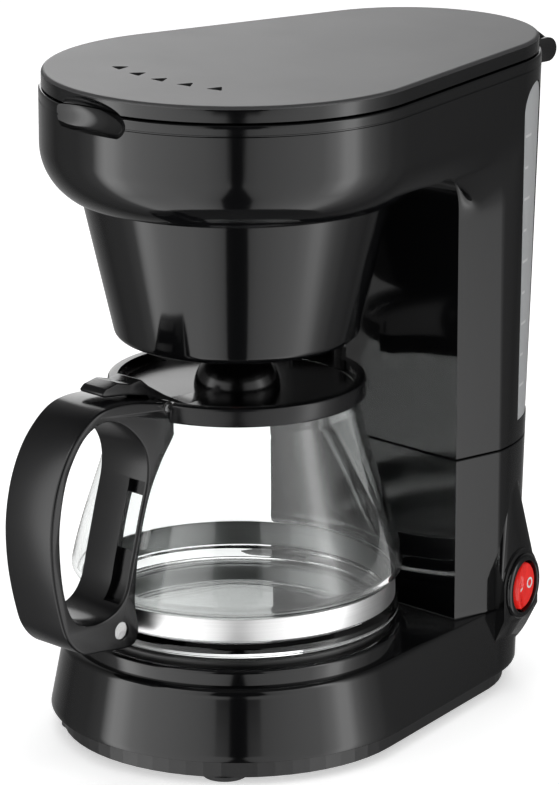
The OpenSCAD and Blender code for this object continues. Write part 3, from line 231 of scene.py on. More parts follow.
def turned(profile, n=180):
    """Closed outline of (radius, height) turned about the brew axis."""
    r, z = np.asarray(profile, float).T
    p = at_heights(polar(r[:, None], circle(n)), z)
    return skin(p, ends=False, wrap=not (r[0] < 1e-6 and r[-1] < 1e-6))


def disc(r, z0, z1, n=180, edge=0.0):
    """Cylinder about the brew axis, its two rims rounded by edge."""
    return turned(rounded([(0, z0), (r, z0), (r, z1), (0, z1)], [0, edge, edge, 0]), n)


def extruded(outline, z0, z1):
    """Flat outline carried straight up from z0 to z1."""
    o = np.asarray(outline, float)
    return skin(at_heights(np.stack([o, o]), [z0, z1]))


def block(a, b):
    """Box from one corner to the opposite one."""
    (x0, y0, z0), (x1, y1, z1) = a, b
    return extruded([(x0, y0), (x1, y0), (x1, y1), (x0, y1)], z0, z1)


def moved(shape, turn=None, by=(0, 0, 0)):
    """Points turned by a 3 x 3 matrix and shifted."""
    v = np.asarray(shape[0], float)
    return (v if turn is None else v @ np.asarray(turn, float).T) + by, shape[1]


def joined(*shapes):
    """Several shapes as one list of points and faces."""
    verts, faces, at = [], [], 0
    for v, f in shapes:
        verts.append(np.asarray(v, float))
        faces += [[i + at for i in g] for g in f]
        at += len(v)
    return np.concatenate(verts), faces


def mirrored(shape):
    """A shape and its mirror image across the machine's middle plane."""
    v, f = shape
    return joined(shape, (np.asarray(v) * (-1, 1, 1), [g[::-1] for g in f]))


# Takes the (u, v, along) of a shape to (y, z, x)
ALONG_X = [[0, 0, 1], [1, 0, 0], [0, 1, 0]]


def along_x(r, y, z, x0, x1, edge=0.0):
    """Cylinder along X through (y, z)."""
    return moved(disc(r, x0, x1, 64, edge), ALONG_X, (0, y, z))


def beaded(outline, x, d):
    """Side outline of (y, z) carried across X, drawn in by d at each station x."""
    o = np.asarray(outline, float)
    step = np.roll(o, -1, 0) - np.roll(o, 1, 0)
    step /= np.maximum(np.linalg.norm(step, axis=1), 1e-9)[:, None]
    inward = np.stack([-step[:, 1], step[:, 0]], -1)
    return moved(skin(at_heights(o + inward * np.reshape(d, (-1, 1, 1)), x)), ALONG_X)


def across(outline, w, edge=0.0):
    """Side outline of (y, z) carried across a width w about the middle plane, its two
    rims rounded by edge."""
    t = quarter(5)
    d = np.r_[edge * (1 - np.sin(t)), edge * (1 - np.cos(t))]
    x = np.r_[-w / 2 + edge * (1 - np.cos(t)), w / 2 - edge + edge * np.sin(t)]
    if edge <= 0:
        d, x = np.zeros(2), np.array([-w / 2, w / 2])
    return beaded(outline, x, d)


# ---- Making pieces ----

def placed(name, data):
    """New object of the data, linked to the scene."""
    obj = bpy.data.objects.new(name, data)
    bpy.context.scene.collection.objects.link(obj)
    return obj


def dress(mesh, stuff):
    mesh.materials.clear()
    mesh.materials.append(stuff)


def mesh_of(name, verts, faces):
    mesh = bpy.data.meshes.new(name)
    mesh.from_pydata(np.asarray(verts).tolist(), [], faces)
    return mesh


def clean(mesh, near, thin, outwards=False):
    """Merges a mesh's doubles, drops its slivers, and can turn its faces outwards."""
    work = bmesh.new()
    work.from_mesh(mesh)
    bmesh.ops.remove_doubles(work, verts=work.verts, dist=near)
    bmesh.ops.dissolve_degenerate(work, edges=work.edges, dist=thin)
    if outwards:
        bmesh.ops.recalc_face_normals(work, faces=work.faces)
    work.to_mesh(mesh)
    work.free()


def raw(name, shape):
    """Mesh object of a shape, its doubles merged and its faces turned outwards."""
    verts, faces = shape
    mesh = mesh_of(name, (np.asarray(verts, float) + (0, ROW_Y, 0)) * 0.001, faces)
    clean(mesh, 1e-6, 1e-7, outwards=True)
    return placed(name, mesh)


def combined(obj, operation, *shapes):
    """The object less, or with, or within each shape in turn."""
    for shape in shapes:
        tool = raw("tool", shape)
        work = obj.modifiers.new("work", "BOOLEAN")
        work.operation = operation
        work.solver = "EXACT"
        work.object = tool
        graph = bpy.context.evaluated_depsgraph_get()
        mesh = bpy.data.meshes.new_from_object(obj.evaluated_get(graph))
        obj.modifiers.clear()
        old = obj.data
        obj.data = mesh
        bpy.data.meshes.remove(old)
        bpy.data.meshes.remove(tool.data)
    return obj


def carved(obj, *shapes):
    return combined(obj, "DIFFERENCE", *shapes)


def fused(obj, *shapes):
    return combined(obj, "UNION", *shapes)


SHARP_FROM = math.radians(32)


def finish_piece(obj, body, stuff, stands_for=(), slot=None):
    """Shades a piece smoothly up to SHARP_FROM, gives it its finish and its body."""
    mesh = obj.data
    clean(mesh, 2e-6, 1e-6)
    mesh.shade_smooth()
    mesh.set_sharp_from_angle(angle=SHARP_FROM)
    dress(mesh, stuff)
    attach(obj, body)
    if stands_for:
        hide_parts(*stands_for)


# ---- Finishes ----

def operator(kind, swapped=False):
    """Method of an operator: a Math node of the kind on the value and the other term."""
    def act(self, other):
        return self.sum(kind, *((other, self) if swapped else (self, other)))
    return act


class Value:
    """A shader socket that takes part in sums."""
    __add__ = __radd__ = operator("ADD")
    __sub__, __rsub__ = operator("SUBTRACT"), operator("SUBTRACT", True)
    __mul__ = __rmul__ = operator("MULTIPLY")
    __gt__, __lt__ = operator("GREATER_THAN"), operator("LESS_THAN")
    __mod__ = operator("FLOORED_MODULO")

    def __init__(self, stuff, socket):
        self.stuff, self.socket = stuff, socket

    def sum(self, kind, *terms, clamp=False):
        settings = {"operation": kind, "use_clamp": clamp}
        return self.stuff.node("ShaderNodeMath", settings, *terms)

    def clamped(self):
        return self.sum("MULTIPLY", self, 1.0, clamp=True)

    def wave(self, per_metre):
        """Sine of a length, set between 0 and 1."""
        return self.sum("SINE", self * per_metre) * 0.5 + 0.5


class Finish:
    """One material: its nodes, its Principled shader, and the place on the object."""

    def __init__(self, name, **fixed):
        self.material = bpy.data.materials.new(name)
        self.material.use_nodes = True
        self.tree = self.material.node_tree
        self.shader = next(n for n in self.tree.nodes if n.type == "BSDF_PRINCIPLED")
        self.feed(**fixed)
        coordinates = self.tree.nodes.new("ShaderNodeTexCoord")
        self.place = Value(self, coordinates.outputs["Object"])

    def node(self, kind, settings=None, *inputs, out=0, **named):
        """A node of a kind, its settings first and then its sockets."""
        node = self.tree.nodes.new(kind)
        for key, value in (settings or {}).items():
            setattr(node, key, value)
        for key, value in list(enumerate(inputs)) + list(named.items()):
            self.plug(node, key if isinstance(key, int) else key.replace("_", " "), value)
        return Value(self, node.outputs[out])

    def plug(self, node, key, value):
        """Links a value to a node's socket, or sets the socket to a number or colour."""
        if isinstance(value, Value):
            self.tree.links.new(value.socket, node.inputs[key])
        else:
            node.inputs[key].default_value = value

    def noise(self, scale, detail=2.0, stretch=(1, 1, 1)):
        """Noise on the object's own coordinates, in features per metre."""
        place = self.node("ShaderNodeMapping", None, Vector=self.place, Scale=stretch)
        return self.node("ShaderNodeTexNoise", None, Vector=place, Scale=scale, Detail=detail)

    def axes(self):
        """The object's X, Y and Z as three values."""
        split = self.node("ShaderNodeSeparateXYZ", None, self.place)
        return [Value(self, split.socket.node.outputs[i]) for i in range(3)]

    def mix(self, share, low, high):
        """Colour between two colours by a share from 0 to 1."""
        node = self.tree.nodes.new("ShaderNodeMix")
        node.data_type = "RGBA"
        for key, value in ((0, share), (6, low), (7, high)):
            self.plug(node, key, value)
        return Value(self, node.outputs[2])

    def feed(self, **sockets):
        """Plugs values into sockets of the shader."""
        for key, value in sockets.items():
            self.plug(self.shader, key.replace("_", " "), value)
        return self

    def bump(self, height, depth_mm):
        """Relief that is depth_mm deep where height runs from 0 to 1."""
        return self.feed(Normal=self.node("ShaderNodeBump", None, Strength=1.0,
                                          Distance=depth_mm * 0.001, Height=height))


def grey(v):
    return (v, v, v, 1.0)


def moulded(name, colour, rough, spread, grain=0.0, scale=900.0, **fixed):
    """Moulded plastic: an even colour, slow cloudy changes of gloss, and a fine grain."""
    f = Finish(name, Base_Color=colour, **fixed)
    cloud = f.noise(38.0, 3.0)
    f.feed(Roughness=cloud * spread + (rough - spread / 2))
    if grain:
        f.bump(f.noise(scale, 1.0), grain)
    return f.material


BLACK = (0.0035, 0.0036, 0.0040, 1)
GLOSS = moulded("gloss_black", BLACK, 0.085, 0.05, 0.004, 260.0)
SATIN = moulded("satin_black", (0.009, 0.009, 0.0095, 1), 0.36, 0.08, 0.012, 2200.0)
HANDLE_BLACK = moulded("handle_black", (0.005, 0.005, 0.0055, 1), 0.20, 0.06, 0.005,
                       Specular_IOR_Level=0.36)
CUP_PLASTIC = moulded("cup_plastic", (0.014, 0.014, 0.015, 1), 0.3, 0.08, 0.008)
SEAL = moulded("seal_rubber", (0.16, 0.16, 0.165, 1), 0.6, 0.1, 0.02, 1500.0)
FOOT = moulded("foot_rubber", (0.03, 0.03, 0.031, 1), 0.75, 0.1, 0.03, 1500.0)
SILICONE = moulded("silicone", (0.50, 0.50, 0.47, 1), 0.45, 0.08)
PIPE = moulded("pipe_plastic", (0.62, 0.62, 0.58, 1), 0.35, 0.08)
BRASS = moulded("contact_brass", (0.62, 0.46, 0.17, 1), 0.3, 0.1, Metallic=1.0)
CAST = moulded("cast_aluminium", (0.42, 0.42, 0.43, 1), 0.55, 0.15, 0.06, 700.0, Metallic=1.0)
FUSE = moulded("fuse_cream", (0.55, 0.5, 0.34, 1), 0.5, 0.1)
VALVE_RED = moulded("valve_rubber", (0.20, 0.035, 0.02, 1), 0.5, 0.1)


def brushed_steel():
    """Steel with fine marks that run round the machine: noise squeezed along Z."""
    f = Finish("band_steel", Metallic=1.0)
    marks = f.noise(420.0, 3.0, (0.05, 0.05, 4.0))
    f.feed(Roughness=marks * 0.16 + 0.26, Base_Color=f.mix(marks, grey(0.66), grey(0.82)))
    return f.bump(marks, 0.004).material


def plain_steel():
    """Bright drawn steel: pins, screws, springs and clamps."""
    f = Finish("steel", Metallic=1.0, Base_Color=grey(0.66))
    f.feed(Roughness=f.noise(600.0, 2.0) * 0.15 + 0.16)
    return f.material


def jug_glass():
    """Clear blown glass with a slow waviness."""
    f = Finish("jug_glass", Base_Color=(0.97, 0.985, 0.98, 1), Roughness=0.0, IOR=1.47,
               Transmission_Weight=1.0)
    return f.bump(f.noise(34.0, 1.0), 0.12).material


def window_clear():
    """Smoke grey level window; light marks across it every 12 mm, every other one long."""
    f = Finish("window", IOR=1.49, Transmission_Weight=0.25)
    x, y, z = f.axes()
    turn = math.radians(WINDOW_TURN)
    aside = x * -math.sin(turn) + (y - (BACK_Y + ROW_Y) * 0.001) * math.cos(turn)
    first, step, thick = 0.1185, 0.012, 0.0010
    line = ((z - first) % step < thick) * (z > 0.1180) * (z < 0.2220)
    long_row = (z - first) % (2 * step) < thick
    reach = long_row * 0.0025 + 0.0022
    mark = line * (aside > -0.0095) * (aside < (reach - 0.0085))
    f.feed(Base_Color=f.mix(mark, (0.60, 0.61, 0.62, 1), grey(0.85)),
           Roughness=f.noise(300.0) * 0.1 + 0.18)
    return f.material


def plate_enamel():
    """Dark non-stick enamel with faint rings and a few pale rub marks."""
    f = Finish("plate_enamel")
    x, y, _ = f.axes()
    y = y - ROW_Y * 0.001
    rings = x.sum("SQRT", x * x + y * y).wave(2600.0)
    worn = f.noise(70.0, 5.0)
    f.feed(Roughness=worn * 0.2 + 0.28, Base_Color=f.mix(worn, grey(0.010), grey(0.028)))
    return f.bump(rings, 0.015).material


def mesh_plastic():
    """Fine woven filter: crossed threads in relief."""
    f = Finish("mesh_plastic", Base_Color=(0.03, 0.03, 0.032, 1))
    x, y, z = f.axes()
    threads = x.wave(5200.0) * y.wave(5200.0) + z.wave(5200.0) * 0.5
    f.feed(Roughness=threads * 0.2 + 0.4)
    return f.bump(threads, 0.12).material


def rocker_red():
    """Clear red plastic over a lamp, a little cloudy."""
    f = Finish("rocker_red", IOR=1.5, Emission_Strength=0.35, Coat_Roughness=0.05)
    cloud = f.noise(220.0, 2.0)
    f.feed(Base_Color=f.mix(cloud, (0.55, 0.006, 0.008, 1), (0.80, 0.03, 0.022, 1)),
           Emission_Color=f.mix(cloud, (0.55, 0.004, 0.004, 1), (0.85, 0.03, 0.02, 1)),
           Roughness=cloud * 0.06 + 0.10)
    return f.material


def lid_plastic():
    """Gloss black like the head, with a finely grained satin top."""
    f = Finish("lid_plastic")
    top = f.axes()[2] > 0.2489
    f.feed(Base_Color=f.mix(top, BLACK, (0.040, 0.040, 0.041, 1)),
           Roughness=top * 0.30 + 0.09 + f.noise(38.0, 3.0) * 0.04)
    return f.bump(f.noise(2600.0, 1.0) * top, 0.012).material


LID_PLASTIC = lid_plastic()
BAND_STEEL, STEEL, GLASS = brushed_steel(), plain_steel(), jug_glass()
WINDOW, ENAMEL, MESH, RED = window_clear(), plate_enamel(), mesh_plastic(), rocker_red()
MARK_WHITE = moulded("mark_white", (0.85, 0.85, 0.85, 1), 0.35, 0.05)

# ---- Head and column ----


def corner_rings(t):
    """Bay's upper corner: a quarter round from the column's face, t = 0, to the ceiling,
    t = 1, while the cheeks flare from CHEEK_X to CEILING_X."""
    a = t * np.pi / 2
    z = DECK_Z - CORNER * (1 - np.sin(a))
    plan = column_plan(CHEEK_X + (CEILING_X - CHEEK_X) * (1 - np.cos(a)),
                       BAY_Y - CORNER * (1 - np.cos(a)), lean_r(z), lean_y(z))
    return at_heights(plan, z)


def flow_share():
    """Share of the soft flow for each point of a plan: 0 on the front, rising along each
    cheek, 1 at the crease and round the back."""
    cheek = smooth(np.arange(1, N_CHEEK + 1) / (0.55 * N_CHEEK))
    rest = np.ones(2 * N_SIDE + N_BACK + 3)
    return np.r_[np.zeros(N_FRONT + 1), cheek, rest, cheek[::-1]][None, :, None]


def upper_outside():
    """Outside of head and column: column plans up to the bay's corner, the corner's
    quarter round, then head plans through the bowl's quarter round to a rim with a fine
    groove. From FLOW_LOW to FLOW_HIGH the cheeks are a smoothstep mix of both plans."""
    z_col = np.r_[SEAM_TOP, np.linspace(SEAM_TOP + GAP, DECK_Z - CORNER, 46)]
    inset = np.r_[GAP, np.zeros(46)]
    column = at_heights(column_plan(CHEEK_X - inset, BAY_Y + inset, lean_r(z_col) - inset,
                                    lean_y(z_col)), z_col)
    corner = corner_rings(np.linspace(0, 1, 17)[1:])
    z_bowl = np.linspace(DECK_Z, BOWL_Z, 16)
    z_side = np.array([225, 228, 231, 234, 237, 239.2, 239.4, 239.6, 239.8, 240.0, 242.0])
    groove = np.array([0, 0, 0, 0, 0, 0, 0.28, 0.32, 0.28, 0, 0])
    t = quarter(6)
    z_rim = RIM_Z - RIM_EDGE + RIM_EDGE * np.sin(t)
    in_rim = RIM_EDGE * (1 - np.cos(t))
    z = np.r_[z_bowl, z_side, z_rim, RIM_Z]
    d = np.r_[bowl_in(z_bowl), groove, in_rim, RIM_IN]
    back_in = np.r_[0 * z_bowl, groove, in_rim, RIM_IN]
    head = at_heights(head_plan(HEAD_R - d, lean_r(z) - back_in, lean_y(z)), z)
    rings = np.concatenate([column, corner, head])
    # the soft version of every ring, on evenly spread heights through the flow
    lift = rings[:, :1, 2].copy()
    flow = (lift > FLOW_LOW - 1e-9) & (lift < FLOW_HIGH)
    lift[flow] = np.linspace(FLOW_LOW, FLOW_HIGH, int(flow.sum()) + 2)[1:-1]
    zs = lift[:, 0]
    share = smooth((zs - FLOW_LOW) / (FLOW_HIGH - FLOW_LOW))[:, None, None]
    low = column_plan(CHEEK_X, BAY_Y, lean_r(zs), lean_y(zs))
    high = head_plan(HEAD_R - bowl_in(np.maximum(zs, DECK_Z - 2)), lean_r(zs), lean_y(zs))
    soft = at_heights(low * (1 - share) + high * share, zs)
    w = flow_share() * flow[:, :, None]
    return rings * (1 - w) + soft * w


def window_bar():
    """The window's upright outline of (aside, z), straight with a half round top, carried
    outwards from inside the wall to past the skin."""
    w = WINDOW_W / 2
    t = np.linspace(0, np.pi, 40)
    top = np.stack([w * np.cos(t), WINDOW_HIGH - w + w * np.sin(t)], 1)
    return extruded(np.r_[[[-w, WINDOW_LOW], [w, WINDOW_LOW]], top],
                    BACK_R - BACK_LEAN, BACK_R + 3)


def window_frame():
    """Turn that takes (aside, z, outwards) to space, about the round back's centre."""
    a = math.radians(WINDOW_TURN)
    return np.array([[-math.sin(a), 0, math.cos(a)], [math.cos(a), 0, math.sin(a)], [0, 1, 0]])


def scoop_tool(grow):
    """Thumb scoop's hollow: an ellipsoid on the head's front, flat below."""
    t = np.linspace(-np.pi / 2, np.pi / 2, 49)
    ball, faces = turned(np.stack([np.cos(t) * (np.abs(t) < 1.57), np.sin(t)], 1), 120)
    v = ball * (np.array([SCOOP_W / 2, SCOOP_D, SCOOP_H]) + grow) + SCOOP_AT
    v[:, 2] = np.maximum(v[:, 2], SCOOP_FLOOR - grow)
    return v, faces


def inside_column(z0, z1):
    """Column's hollow from z0 to z1, a wall in from its outside."""
    z = np.linspace(z0, z1, 24)
    plan = column_plan(CHEEK_X - WALL, BAY_Y + WALL, lean_r(z) - WALL, lean_y(z))
    return skin(at_heights(plan, z))


def rim_back(x):
    """How far back the rim reaches at x."""
    return BACK_Y + math.sqrt(BACK_R ** 2 - x * x)


def ear(x0):
    """Hinge ear: a round eye on a web that runs forward into the rim."""
    y0 = rim_back(x0 + EAR_T) - 2 * WALL
    y1, z0, z1 = HINGE_Y + KNUCKLE_R, HINGE_Z - KNUCKLE_R, HINGE_Z + KNUCKLE_R
    side = rounded([(y0, z0), (y1, z0), (y1, z1), (y0, z1)], [0, EAR_ROUND, EAR_ROUND, 0], 12)
    return moved(across(side, EAR_T, 0.4), by=(x0 + EAR_T / 2, 0, 0))


EAR_X0 = KNUCKLE_X - KNUCKLE_W / 2 - GAP - EAR_T
EAR_X1 = KNUCKLE_X + KNUCKLE_W / 2 + GAP


def upper_housing():
    """Head and column, less the well, tank, funnel's seat, scoop, pipe's notch and the
    window's opening; then the hinge's ears."""
    obj = raw("upper_shell", skin(upper_outside()))
    plan = head_plan(HEAD_R - 2 * WALL, BACK_R - 2 * WALL, BACK_Y)[0]
    front = plan[:N_FRONT + 1]
    slope = plan[N_FRONT + 1] - plan[N_FRONT]
    corner = front[-1] + slope * (BAY_Y - front[-1, 1]) / slope[1]
    well = np.r_[front, [corner], [corner * (-1, 1)]]
    well = carved(raw("tool", extruded(well, DECK_TOP, RIM_Z + 3)), scoop_tool(WALL))
    notch_x = -PIPE_X * BAY_Y / PIPE_Y
    carved(obj, joined_mesh(well),
           inside_column(TANK_Z, RIM_Z + 2),
           disc(WELL_R, DECK_Z - 1, DECK_TOP + 1),
           disc(FUNNEL_TOP_R + GAP, FUNNEL_TOP - 1, DECK_Z + 0.01),
           scoop_tool(0),
           block((notch_x - NOTCH_HALF, BAY_Y - 1, NOTCH_Z),
                 (notch_x + NOTCH_HALF, BAY_Y + 2 * WALL, RIM_Z + 2)),
           moved(window_bar(), window_frame(), (0, BACK_Y, 0)))
    fused(obj, mirrored(joined(ear(EAR_X0), ear(EAR_X1))))
    carved(obj, mirrored(block(
        (EAR_X0 + EAR_T, HINGE_Y - KNUCKLE_R - GAP, HINGE_Z - KNUCKLE_R - GAP),
        (EAR_X1, HINGE_Y + KNUCKLE_R + 2, RIM_Z + 2))))
    return obj


def joined_mesh(obj):
    """An object's mesh as points about the brew axis and faces, and the object removed."""
    v = np.empty(len(obj.data.vertices) * 3)
    obj.data.vertices.foreach_get("co", v)
    v = v.reshape(-1, 3) * 1000 - (0, ROW_Y, 0)
    faces = [list(p.vertices) for p in obj.data.polygons]
    bpy.data.meshes.remove(obj.data)
    return v, faces


def level_window():
    """Clear strip let into the round back: across its width at each height, how far the
    window's own direction runs to the leaning back, less a recess; two skins and a rim."""
    t, n = window_frame()[:2, [0, 2]].T
    play = 0.25
    w = WINDOW_W / 2 - play
    z_mid = WINDOW_HIGH - play - w
    z = np.r_[np.linspace(WINDOW_LOW + play, z_mid, 60),
              z_mid + w * np.sin(quarter(16)[1:] * 0.97)]
    half = np.where(z > z_mid, np.sqrt(np.maximum(w * w - (z - z_mid) ** 2, 0)), w)
    aside = half[:, None] * np.linspace(-1, 1, 25)

    def sheet_at(inset):
        m = aside[..., None] * t + np.stack([0 * z, BACK_Y - lean_y(z)], 1)[:, None]
        b = m @ n
        far = -b + np.sqrt(b * b - (m * m).sum(-1) + (lean_r(z)[:, None] - inset) ** 2)
        return at_heights(aside[..., None] * t + far[..., None] * n + (0, BACK_Y), z)

    outer, inner = sheet_at(0.4), sheet_at(WALL)
    return raw("window_strip", skin(np.concatenate([outer, inner[:, ::-1]], 1)))


# ---- Lid ----

# Vents stand on an arc; their step and turn are in degrees
VENTS, VENT_Y, VENT_ARC, VENT_STEP, VENT_R, VENT_TURN = 5, 36.0, 91.0, 8.15, 3.8, -1.3
LID_IN, LID_EDGE, LID_T = 1.0, 1.6, 2.6


def lid_outside():
    """Lid's shell as one skin: its ceiling, down the wall's inside, out under the wall, up
    its outside, a quarter round of radius LID_EDGE, and in over the top."""
    t = quarter(9)
    d = np.r_[LID_IN + WALL, LID_IN + WALL, LID_IN + 0.3, LID_IN, LID_IN,
              LID_IN + LID_EDGE * (1 - np.cos(t)), LID_IN + LID_EDGE + 0.5]
    z = np.r_[LID_TOP - LID_T, LID_Z, LID_Z, LID_Z + 0.3, LID_Z + 2,
              LID_TOP - LID_EDGE * (1 - np.sin(t)), LID_TOP]
    return skin(at_heights(head_plan(HEAD_R - d, BACK_R - d, BACK_Y), z))


def lid_arm():
    """Arm behind the lid: out from the edge under the top, round the hinge's eye, and a
    straight slope from the eye back up to the lid's edge."""
    y0 = rim_back(KNUCKLE_X + KNUCKLE_W / 2)
    t = np.radians(np.linspace(180, 415, 30))
    knuckle = polar(KNUCKLE_R, t) + (HINGE_Y, HINGE_Z)
    side = np.r_[[(y0 - 2 * WALL, LID_Z), (HINGE_Y - KNUCKLE_R, LID_Z)], knuckle,
                 [(y0 + LID_EDGE, LID_TOP - LID_EDGE), (y0 - 2 * WALL, LID_TOP - LID_EDGE)]]
    side = rounded(side, [0, 0.8] + [0] * 30 + [4, 0], 8)
    return moved(across(side, KNUCKLE_W, 0.5), by=(KNUCKLE_X, 0, 0))


def top_lid():
    """Lid: its shell, the scoop's wall and hollow, the hinge's arms, a ring below that
    centres it, and vents that are rounded triangles."""
    obj = raw("lid_shell", lid_outside())
    core = head_plan(HEAD_R - LID_IN - 0.43 + np.zeros(2), BACK_R - 2, BACK_Y)
    wall = combined(raw("tool", scoop_tool(WALL)), "INTERSECT",
                    skin(at_heights(core, [LID_Z + 0.07, LID_TOP - 0.6])))
    fused(obj, joined_mesh(wall))
    carved(obj, scoop_tool(0))
    r0, r1, z0, z1 = 60.3, 61.5, 240, 247.6
    fused(obj, mirrored(lid_arm()), turned([(r0, z0), (r1, z0), (r1, z1), (r0, z1)]))
    tri = np.radians([90, 210, 330])
    for i in range(VENTS):
        a = math.radians((i - (VENTS - 1) / 2) * VENT_STEP + VENT_TURN)
        turn = np.array([[math.cos(a), -math.sin(a)], [math.sin(a), math.cos(a)]])
        o = rounded(polar(VENT_R, tri) - (0, VENT_ARC), 0.4, 4) @ turn.T
        o += (0, VENT_ARC - VENT_Y)
        carved(obj, extruded(o, LID_TOP - LID_T - 2, LID_TOP + 1))
    return obj


# ---- Funnel ----


def brew_funnel():
    """Funnel: floor, rounded foot, straight cone, flat ledge, and the head's bowl curve
    carried on as its flange; inside it the same again, a wall in."""
    z = np.linspace(FUNNEL_TOP, DECK_Z, 10)
    flange = np.stack([HEAD_R - bowl_in(z), z], 1)
    valve_r, play = 5.6, 0.8
    hole = valve_r + 2 * CUP_WALL + play
    foot = rounded([(hole, FUNNEL_Z), (FUNNEL_FOOT_R, FUNNEL_Z), (FUNNEL_TOP_R, FUNNEL_TOP)],
                   [0, 4.0, 0], 12)
    floor = FUNNEL_Z + CUP_WALL
    inner = [(WELL_R, DECK_Z - 0.01), (WELL_R, FUNNEL_TOP), (CUP_FLOOR_R, CUP_FLOOR_Z),
             (CUP_FLOOR_R - 3, floor), (hole, floor)]
    obj = raw("funnel_shell", turned(np.r_[foot, flange, inner], 220))
    cut = raw("tool", block((-80, FLAT_BACK_Y, FUNNEL_TOP - 1), (80, 80, DECK_Z + 1)))
    carved(cut, disc(FUNNEL_TOP_R, FUNNEL_TOP - 2, DECK_Z + 2, 220))
    return carved(obj, joined_mesh(cut))


# ---- Base ----

def switch_frame():
    """Turn that takes (down, towards the back, outwards) at the switch to space."""
    a = math.radians(SWITCH_TURN)
    return np.array([[0, -math.sin(a), math.cos(a)], [0, math.cos(a), math.sin(a)], [-1, 0, 0]])


def at_switch(shape):
    return moved(shape, switch_frame(), SWITCH_AT)


def lower_outside():
    """Outside of base and column's foot: head plans from the skirt to a quarter round
    shoulder, the top in to the column, a small fillet, and column plans to the seam."""
    t = quarter(9)
    top_r = BASE_R - BASE_DRAW
    z_side = np.r_[SKIRT_Z, SKIRT_Z, SKIRT_Z + 0.25, SKIRT_Z + 0.6, np.linspace(11, 31, 16)]
    in_side = np.r_[1.2, 0.6, 0.15, 0, np.zeros(16)]
    r_side = BASE_R - BASE_DRAW * (z_side - SKIRT_Z) / (BASE_H - SHOULDER - SKIRT_Z)
    z_sh = BASE_H - SHOULDER * (1 - np.sin(t))
    r_sh = top_r - SHOULDER * (1 - np.cos(t))
    z = np.r_[z_side, z_sh, BASE_H]
    r = np.r_[r_side - in_side, r_sh, r_sh[-1] - 0.5]
    s = lean_r(z) - np.r_[in_side, 0 * z_sh, 0]
    base = at_heights(head_plan(r, s, lean_y(z)), z)
    a = quarter(5)
    z_col = np.r_[BASE_H, BASE_H + 1 - np.cos(a), np.linspace(38, SEAM_LOW - GAP, 40), SEAM_LOW]
    g = np.r_[1.6, 1 - np.sin(a), np.zeros(40), -GAP]
    back = np.r_[np.zeros(46), GAP]
    plan = column_plan(CHEEK_X + g, BAY_Y - g, lean_r(z_col) - back, lean_y(z_col))
    return np.concatenate([base, at_heights(plan, z_col)])


def hulled(points):
    """Convex skin round a cloud of points."""
    work = bmesh.new()
    for p in points:
        work.verts.new(p)
    bmesh.ops.convex_hull(work, input=work.verts)
    bmesh.ops.delete(work, geom=[v for v in work.verts if not v.link_faces], context="VERTS")
    work.verts.index_update()
    verts = np.array([v.co[:] for v in work.verts])
    faces = [[v.index for v in f.verts] for f in work.faces]
    work.free()
    return verts, faces


def switch_fairing():
    """Switch's fairing: the hull of a round face and two small balls on the round back."""
    turn = switch_frame()
    t = circle(80)
    cloud = [np.stack([r * np.cos(t), r * np.sin(t), 0 * t + out], 1) @ turn.T + SWITCH_AT
             for r, out in ((15.3, -7.2), (15.3, -4.4), (14.9, -3.4), (14.0, -3.0))]
    aside = math.atan2(SWITCH_AT[1] - BACK_Y + BACK_LEAN, SWITCH_AT[0])
    up = np.linspace(-np.pi / 2, np.pi / 2, 17)[:, None]
    ball = 4.0 * at_heights(polar(np.cos(up), t), np.sin(up))
    for z in (SKIRT_Z + 12.0, SEAM_LOW - 12.0):
        far = lean_r(z) - 4.6
        at = (far * math.cos(aside), lean_y(z) + far * math.sin(aside), z)
        cloud.append(ball.reshape(-1, 3) + at)
    return hulled(np.concatenate(cloud))


def switch_face():
    """Arched face under the bezel: half a circle over straight sides with round lower
    corners, its foot sloped in towards the round back."""
    r, low, bend, root = FACE_R, FACE_FOOT, 11, -18.0
    foot = rounded([(bend, -r), (low, -r), (low, r), (bend, r)], [0, 5, 5, 0], 8)
    o = np.r_[polar(r, np.linspace(np.pi / 2, 3 * np.pi / 2, 48)), foot]
    rings = []
    for inset, out in ((0, root), (0, -3.0), (0.4, -2.1), (1.2, -1.8)):
        d = o * (1 - inset / r)
        slope = np.maximum(d[:, 0] - bend, 0) * 0.53 * (out > root)
        rings.append(np.c_[d, out - slope])
    return at_switch(hulled(np.concatenate(rings)))


def lower_housing():
    """Base, column's foot and switch's boss, less their hollows, the plate's hole and the
    holes for the switch and the cord's gland."""
    obj = raw("lower_shell", skin(lower_outside()))
    z = np.array([SKIRT_Z - 1, BASE_H - WALL])
    r = np.array([BASE_R - BASE_DRAW - WALL, BASE_R - BASE_DRAW - SHOULDER])
    boss = fused(raw("tool", switch_fairing()), switch_face())
    carved(boss, block((0, 0, 0), (90, CREASE_Y - 2.0, 120)))
    fused(obj, joined_mesh(boss))
    carved(obj,
           skin(at_heights(head_plan(r, lean_r(z) - WALL, lean_y(z)), z)),
           inside_column(BASE_H - 2 * WALL, SEAM_LOW + 1),
           disc(PLATE_HOLE_R, BASE_H - 2 * WALL, BASE_H + 1),
           at_switch(disc(BARREL_HOLE_R, -20, 3, 96)),
           moved(disc(GLAND_R, 0, 70, 64), [[1, 0, 0], [0, 0, 1], [0, -1, 0]],
                 (0, BACK_Y, GLAND_Z)))
    return obj


def plate_ring():
    """Ring round the plate: a ledge under the seal and a rim with a rounded top."""
    seat_r, seat_z = PLATE_R + GAP, BASE_H + 1.6
    p = [(PLATE_HOLE_R, BASE_H), (RING_R, BASE_H), (RING_R, RING_Z), (seat_r, RING_Z),
         (seat_r, seat_z), (PLATE_HOLE_R, seat_z)]
    return raw("plate_ring_shell", turned(rounded(p, [0, 0, 1.6, 0.8, 0, 0.4]), 200))


